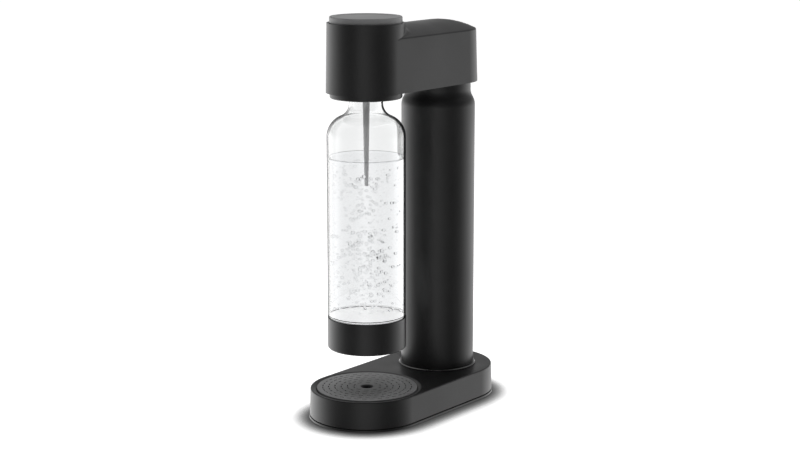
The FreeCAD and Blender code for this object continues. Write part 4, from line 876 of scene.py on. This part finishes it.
def make_spring(name, node, body, wire, turns):
    """A coil with the same ends as a CAD spring, whose last turns lie flat as on a ground spring."""
    low, high = limits(node)
    centre = (low + high) / 2
    mean = (high.x - low.x) / 2 - wire
    steps = round(turns * COIL_STEPS)
    around = 10
    bm = bmesh.new()
    rings = []
    for step in range(steps + 1):
        angle = 2 * math.pi * turns * step / steps
        share = min(max((step / steps * turns - FLAT_TURN) / (turns - 2 * FLAT_TURN), 0.0), 1.0)
        height = low.z + wire + share * (high.z - low.z - 2 * wire)
        outward = Vector((math.cos(angle), math.sin(angle), 0.0))
        middle = Vector((centre.x, centre.y, height)) + outward * mean
        ring = []
        for index in range(around):
            part = 2 * math.pi * index / around
            across = outward * math.cos(part) + Vector((0.0, 0.0, math.sin(part)))
            ring.append(bm.verts.new(middle + wire * across))
        rings.append(ring)
    for start, end in zip(rings, rings[1:]):
        bridge(bm, start, end)
    bm.faces.new(rings[0])
    bm.faces.new(rings[-1])
    return stand_in(name, bm, body, "spring_steel", node, weld=FINE_WELD)


def make_springs():
    """The three springs. Wire is the wire's radius."""
    for name, node, body, wire, turns, joint, travel, top_fixed in (
            ("button_coil", "button_spring", "machine", 0.7, 5.0, "button_press", 5.0, False),
            ("relief_coil", "relief_spring", "machine", 0.4, 4.5, "relief_lift", 1.5, True),
            ("valve_coil", "cylinder_valve_spring", "valve_spring", 0.4, 5.0, "valve_pin_slide", 0.8, False)):
        coil = make_spring(name, node, body, wire, turns)
        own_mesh(coil)


# ---- Bottle -----------------------------------------------

BOTTLE_STEPS = 160     # vertices round the bottle
FROTH_STEPS = 120
SIDE_ROW = 200.0       # height of the row that divides the bottle's long straight side
CUP_FIT = 0.4          # how much the bottle's foot fills of the cup's wall
PUNT = 7.0             # how far the bottle's bottom is pushed up
# Half of a thread ridge: (radius, distance from the ridge's middle height).
THREAD_RIDGE = [(NECK_RADIUS, 0.9), (THREAD_CREST - 0.15, 0.4), (THREAD_CREST, 0.15)]
# The water's surface from the wall inwards: (distance from the wall, height above the water's level).
MENISCUS = [(0.0, 1.9), (0.2, 1.2), (0.7, 0.55), (1.5, 0.15), (3.0, 0.0), (12.0, 0.0)]
FROTH_LEVEL = FROTH_TOP - 0.7
FROTH_UNEVEN = (-0.5, 0.6)
SWARMS = 40
SWARM_HEIGHTS = (112.0, 262.0)
BUBBLES = 900
COLUMN_SPREAD = 6.0    # of the bubbles that rise below the nozzle
SWARM_SPREAD = 3.4
SWARM_RISE = 2.0
NOZZLE_CLEARANCE = 4.0
BUBBLE_MARGIN = 2.5    # from a bubble's middle to the bottle's wall and to the water's surface
BUBBLE_LEAST = 0.4
BUBBLE_GROWTH = 1.7    # most that a bubble's radius is above the least


def bottle_side(inset):
    """The bottle's outline from the middle of its bottom to its mouth, moved inward by a wall."""
    body = BOTTLE_RADIUS - inset
    fit = CUP_RADIUS - CUP_FLOOR + CUP_FIT - inset
    bottom = bottle_low.z + inset
    centre_r = BOTTLE_RADIUS - SHOULDER_ARC
    throat_r = NECK_RADIUS + THROAT_ARC
    throat_z = SHOULDER_START + math.sqrt((SHOULDER_ARC + THROAT_ARC) ** 2 - (throat_r - centre_r) ** 2)
    meet = math.degrees(math.atan2(throat_z - SHOULDER_START, throat_r - centre_r))
    foot = rounded([
        (0.0, bottom + PUNT), (fit - 13.0, bottom, 12.0), (fit, bottom, 6.0 - inset),
        (fit, cup_high.z + 0.1 + inset, 0.4), (body, cup_high.z + 1.0 + inset, 0.4),
        (body, SIDE_ROW),
    ], closed=False)
    shoulder = arc((centre_r, SHOULDER_START), SHOULDER_ARC - inset, 0.0, meet, 12)
    throat = arc((throat_r, throat_z), THROAT_ARC + inset, 180.0 + meet, 180.0, 8)
    return foot + shoulder + throat[1:]


def make_bottle():
    outside = bottle_side(0.0)
    neck = NECK_RADIUS
    for z in THREAD_HEIGHTS:
        outside += [(radius, z - reach) for radius, reach in THREAD_RIDGE]
        outside += [(radius, z + reach) for radius, reach in reversed(THREAD_RIDGE)]
    mouth = bottle_high.z
    lip = BOTTLE_WALL / 2
    outside += arc((neck - lip, mouth - lip), lip, 0.0, 180.0, 8)
    inside = bottle_side(BOTTLE_WALL)
    bm = bmesh.new()
    spin(bm, outside + inside[::-1], HEAD_Y, angles=turn_angles(BOTTLE_STEPS), closed=False)
    stand_in("drink_bottle", bm, "bottle", "clear_bottle", "bottle_body")


def make_water():
    """The water: it stands just inside the bottle's wall, with a meniscus where it climbs the wall."""
    gap = BOTTLE_WALL + 0.06
    wall = BOTTLE_RADIUS - gap
    side = [(radius, z) for radius, z in bottle_side(gap) if z <= SIDE_ROW]
    surface = [(wall - inwards, WATER_TOP + rise) for inwards, rise in MENISCUS]
    bm = bmesh.new()
    spin(bm, side + surface + [(0.0, WATER_TOP)], HEAD_Y, angles=turn_angles(BOTTLE_STEPS), closed=False)
    make_piece("carbonated_water", bm, "bottle", water_finish)


def make_froth():
    """The dense bed of small bubbles low in the bottle, with an uneven top."""
    gap = BOTTLE_WALL + 0.3
    wall = CUP_RADIUS - CUP_FLOOR + CUP_FIT - gap
    floor = bottle_low.z + PUNT + 2.0
    outline = [(0.0, floor), (wall - 5.0, floor), (wall - 1.0, floor + 1.5), (wall, floor + 5.0),
               (wall, FROTH_TOP - 1.6), (wall - 0.5, FROTH_TOP - 0.9)]
    outline += [(radius, FROTH_LEVEL) for radius in range(36, 2, -2)] + [(0.0, FROTH_LEVEL)]
    bm = bmesh.new()
    spin(bm, outline, HEAD_Y, angles=turn_angles(FROTH_STEPS))
    for vertex in bm.verts:
        if vertex.co.z > FROTH_TOP - 0.8:
            vertex.co.z += random.uniform(*FROTH_UNEVEN)
    bmesh.ops.smooth_vert(bm, verts=[vertex for vertex in bm.verts if vertex.co.z > FROTH_TOP - 1.4],
                          factor=0.4, use_axis_z=True)
    make_piece("froth_bed", bm, "bottle", froth_finish)


def round_shape():
    """The corners and faces of a small round body of unit radius."""
    bm = bmesh.new()
    bmesh.ops.create_icosphere(bm, subdivisions=2, radius=1.0)
    corners = [vertex.co.copy() for vertex in bm.verts]
    faces = [[vertex.index for vertex in face.verts] for face in bm.faces]
    bm.free()
    return corners, faces


def add_bubble(bm, shape, centre, radius, flat):
    """A small rising bubble, a little flattened."""
    corners, faces = shape
    made = [bm.verts.new((centre[0] + radius * corner.x, centre[1] + radius * corner.y,
                          centre[2] + radius * flat * corner.z)) for corner in corners]
    for face in faces:
        bm.faces.new([made[index] for index in face])


def make_bubbles():
    """Loose bubbles and a few swarms that rise from below the nozzle's tip."""
    reach = BOTTLE_RADIUS - BOTTLE_WALL - BUBBLE_MARGIN
    lowest = FROTH_TOP + 2.0
    shape = round_shape()
    bm = bmesh.new()
    swarms = []
    for _ in range(SWARMS):
        angle = random.uniform(0.0, 2 * math.pi)
        radius = reach * math.sqrt(random.uniform(0.0, 0.9))
        swarms.append((radius * math.cos(angle), radius * math.sin(angle), random.uniform(*SWARM_HEIGHTS)))
    for index in range(BUBBLES):
        if index % 3 == 0:
            x = random.gauss(0.0, COLUMN_SPREAD)
            y = random.gauss(0.0, COLUMN_SPREAD)
            z = random.uniform(lowest, nozzle_low.z + 8.0)
        elif index % 3 == 1:
            angle = random.uniform(0.0, 2 * math.pi)
            distance = reach * math.sqrt(random.uniform(0.0, 1.0))
            x = distance * math.cos(angle)
            y = distance * math.sin(angle)
            z = random.uniform(lowest, WATER_TOP - 3.0)
        else:
            swarm = random.choice(swarms)
            x = swarm[0] + random.gauss(0.0, SWARM_SPREAD)
            y = swarm[1] + random.gauss(0.0, SWARM_SPREAD)
            z = swarm[2] + random.gauss(0.0, SWARM_RISE)
        off_axis = math.hypot(x, y)
        in_water = FROTH_TOP + 1.5 < z < WATER_TOP - BUBBLE_MARGIN
        if off_axis > reach or off_axis < NOZZLE_CLEARANCE or not in_water:
            continue
        size = BUBBLE_LEAST + BUBBLE_GROWTH * random.random() ** 2
        add_bubble(bm, shape, (x, HEAD_Y + y, z), size, random.uniform(0.7, 0.95))
    make_piece("rising_bubbles", bm, "bottle", bubble_finish, weld=FINE_WELD)


def make_cup():
    inner = CUP_RADIUS - CUP_FLOOR + 0.5
    top = cup_high.z
    bottom = cup_low.z
    outline = rounded([
        (0.0, bottom + 1.2), (CUP_RADIUS - 12.0, bottom + 1.2, 0.5), (CUP_RADIUS - 10.8, bottom, 0.5),
        (CUP_RADIUS, bottom, CUP_CORNER), (CUP_RADIUS, top, 0.7), (inner, top, 0.3),
        (inner, bottom + CUP_FLOOR, 1.5), (0.0, bottom + CUP_FLOOR),
    ])
    cup = turned("bottle_foot_cup", outline, "bottle", "black_shell", "bottle_base_cup")
    cup.visible_glossy = False


# ---- Make the pieces --------------------------------------

make_base_shell()
make_drip_tray()
make_column_shell()
make_rear_cover()
make_foot_ring()
make_head_shell()
make_collar()
make_button()
make_nozzle()
make_bottle()
make_water()
make_froth()
make_bubbles()
make_cup()
make_springs()


# ---- Studio -----------------------------------------------

VIEW_AZIMUTH = math.radians(37.74)
VIEW_ELEVATION = math.radians(11.4)
VIEW_DISTANCE = 1.8861
AIM_OFFSET = Vector((-0.0007, -0.0042, -0.0138))
LENS = 81.31
SENSOR = 36.0

FLOOR_RADII = (0.3, 1.0, 4.0, 14.0)
FLOOR_STEPS = 64
FLOOR_GLOW = 0.85
CONTACT_REACH = 0.027  # width of the contact shadow painted into the floor where the object stands
CONTACT_SHADE = [(0.45, 0.07), (0.55, 0.09), (0.65, 0.14), (0.75, 0.32), (0.85, 0.62), (0.94, 0.92),
                 (1.0, 1.0)]

# Brightness of the room, from the wall behind the object to the camera's side, from left to right, and from
# straight down to straight up.
WALL_SHADE = [(0.0, 1.1), (0.1, 1.3), (0.2, 1.55), (0.3, 1.4), (0.4, 1.15), (0.5, 0.85), (0.56, 0.55),
              (0.67, 0.25), (0.82, 0.13), (0.92, 0.14), (0.965, 0.34), (1.0, 0.55)]
SIDE_SHADE = [(0.0, 1.35), (0.46, 1.35), (0.55, 1.0), (1.0, 1.0)]
HEIGHT_SHADE = [(0.0, 1.0), (0.46, 1.0), (0.56, 0.35), (0.7, 0.25), (0.85, 0.4), (1.0, 0.6)]
# Clear parts stand before a white panel: light that they bend aside comes from its dim surroundings.
PANEL_SHADE = [(0.0, 0.85), (0.25, 0.7), (0.5, 0.2), (0.65, 0.1), (0.8, 0.28), (0.9, 0.75), (0.95, 1.0)]
WHITE = (1.0, 1.0, 1.0, 1.0)

low, high = cad_box
aim = (low + high) / 2 + AIM_OFFSET
towards = Vector((math.sin(VIEW_AZIMUTH) * math.cos(VIEW_ELEVATION),
                  -math.cos(VIEW_AZIMUTH) * math.cos(VIEW_ELEVATION), math.sin(VIEW_ELEVATION)))


def make_camera():
    data = bpy.data.cameras.new("camera")
    data.lens = LENS
    data.sensor_width = SENSOR
    camera = bpy.data.objects.new("camera", data)
    bpy.context.scene.collection.objects.link(camera)
    camera.location = aim + towards * VIEW_DISTANCE
    camera.rotation_mode = "QUATERNION"
    camera.rotation_quaternion = (-towards).to_track_quat("-Z", "Y")
    bpy.context.scene.camera = camera


def make_floor():
    """A plain pale studio floor under the object, with a contact shadow painted into its colour and glow by
    ambient occlusion.
    """
    bm = bmesh.new()
    centre = bm.verts.new((0.0, 0.0, 0.0))
    rings = []
    for radius in FLOOR_RADII:
        rings.append([bm.verts.new((radius * math.sin(angle), radius * math.cos(angle), 0.0))
                      for angle in turn_angles(FLOOR_STEPS)])
    for ring_from, ring_to in zip(rings, rings[1:]):
        bridge(bm, ring_from, ring_to)
    for vertex, after in zip(rings[0], rings[0][1:] + rings[0][:1]):
        bm.faces.new((centre, after, vertex))
    mesh = bpy.data.meshes.new("studio_floor")
    bm.to_mesh(mesh)
    bm.free()
    floor = bpy.data.objects.new("studio_floor", mesh)
    bpy.context.scene.collection.objects.link(floor)
    material, tree, shader = new_material("pale_floor")
    # Painted contact shadow: ambient occlusion darkens the floor's colour and glow near the object.
    contact = tree.nodes.new("ShaderNodeAmbientOcclusion")
    contact.inputs["Distance"].default_value = CONTACT_REACH
    paper = ramp(tree, noise(tree, scale=6.0, detail=5.0), [(NOISE_LOW, 0.84), (NOISE_HIGH, 0.86)])
    surface = blend(tree, 1.0, paper, ramp(tree, contact.outputs["AO"], CONTACT_SHADE), "MULTIPLY")
    tree.links.new(surface, shader.inputs["Base Color"])
    tree.links.new(surface, shader.inputs["Emission Color"])
    shader.inputs["Emission Strength"].default_value = FLOOR_GLOW
    shader.inputs["Roughness"].default_value = 0.9
    shader.inputs["Specular IOR Level"].default_value = 0.1
    mesh.materials.append(material)
    floor.visible_glossy = False
    floor.visible_transmission = False


def make_world():
    """A white room that is bright behind the object and dim on the camera's side of it."""
    world = bpy.data.worlds.new("studio")
    bpy.context.scene.world = world
    world.use_nodes = True
    tree = world.node_tree
    background = tree.nodes["Background"]

    def maths(operation, *values):
        node = tree.nodes.new("ShaderNodeMath")
        node.operation = operation
        for socket, value in zip(node.inputs, values):
            if isinstance(value, (int, float)):
                socket.default_value = value
            else:
                tree.links.new(value, socket)
        return node.outputs[0]

    def along(direction, parts):
        """How far the ray's direction runs along another."""
        total = maths("MULTIPLY", parts[0], direction[0])
        for part, share in zip(parts[1:], direction[1:]):
            total = maths("ADD", total, maths("MULTIPLY", part, share))
        return total

    def halved(value):
        """A value from -1 to 1 mapped onto 0 to 1."""
        return maths("MULTIPLY_ADD", value, 0.5, 0.5)

    coords = tree.nodes.new("ShaderNodeTexCoord")
    split = tree.nodes.new("ShaderNodeSeparateXYZ")
    tree.links.new(coords.outputs["Generated"], split.inputs[0])
    x, y, z = split.outputs
    level = maths("MAXIMUM", maths("SQRT", along((x, y), (x, y))), 0.001)
    sine = math.sin(VIEW_AZIMUTH)
    cosine = math.cos(VIEW_AZIMUTH)
    walls = ramp(tree, halved(maths("DIVIDE", along((sine, -cosine), (x, y)), level)), WALL_SHADE)
    sides = ramp(tree, halved(maths("DIVIDE", along((cosine, sine), (x, y)), level)), SIDE_SHADE)
    heights = ramp(tree, halved(z), HEIGHT_SHADE)
    room = blend(tree, 1.0, blend(tree, 1.0, walls, heights, "MULTIPLY"), sides, "MULTIPLY")

    path = tree.nodes.new("ShaderNodeLightPath")
    bounces = maths("ADD", path.outputs["Glossy Depth"], path.outputs["Diffuse Depth"])
    straight = maths("SUBTRACT", 1.0, maths("MINIMUM", bounces, 1.0))
    through = maths("MULTIPLY", path.outputs["Is Transmission Ray"], straight)
    seen = maths("MAXIMUM", path.outputs["Is Camera Ray"], through)
    panel = ramp(tree, maths("ABSOLUTE", along(-towards, (x, y, z))), PANEL_SHADE)
    backdrop = blend(tree, path.outputs["Is Camera Ray"], panel, WHITE)
    tree.links.new(blend(tree, seen, room, backdrop), background.inputs["Color"])


def make_lamp(name, direction, distance, width, height, power):
    """A soft box that faces the object. Direction is (degrees round from the camera, degrees up)."""
    round_from_camera = VIEW_AZIMUTH + math.radians(direction[0])
    up = math.radians(direction[1])
    outward = Vector((math.sin(round_from_camera) * math.cos(up), -math.cos(round_from_camera) * math.cos(up),
                      math.sin(up)))
    data = bpy.data.lights.new(name, "AREA")
    data.shape = "RECTANGLE"
    data.size = width
    data.size_y = height
    data.energy = power
    lamp = bpy.data.objects.new(name, data)
    bpy.context.scene.collection.objects.link(lamp)
    lamp.location = aim + outward * distance
    lamp.rotation_mode = "QUATERNION"
    lamp.rotation_quaternion = outward.to_track_quat("Z", "Y")
    return lamp


make_camera()
make_floor()
make_world()
overhead = make_lamp("overhead", direction=(160.0, 75.0), distance=1.6, width=1.6, height=1.6, power=16.0)
overhead.visible_glossy = False
bpy.context.scene.view_settings.view_transform = "Standard"
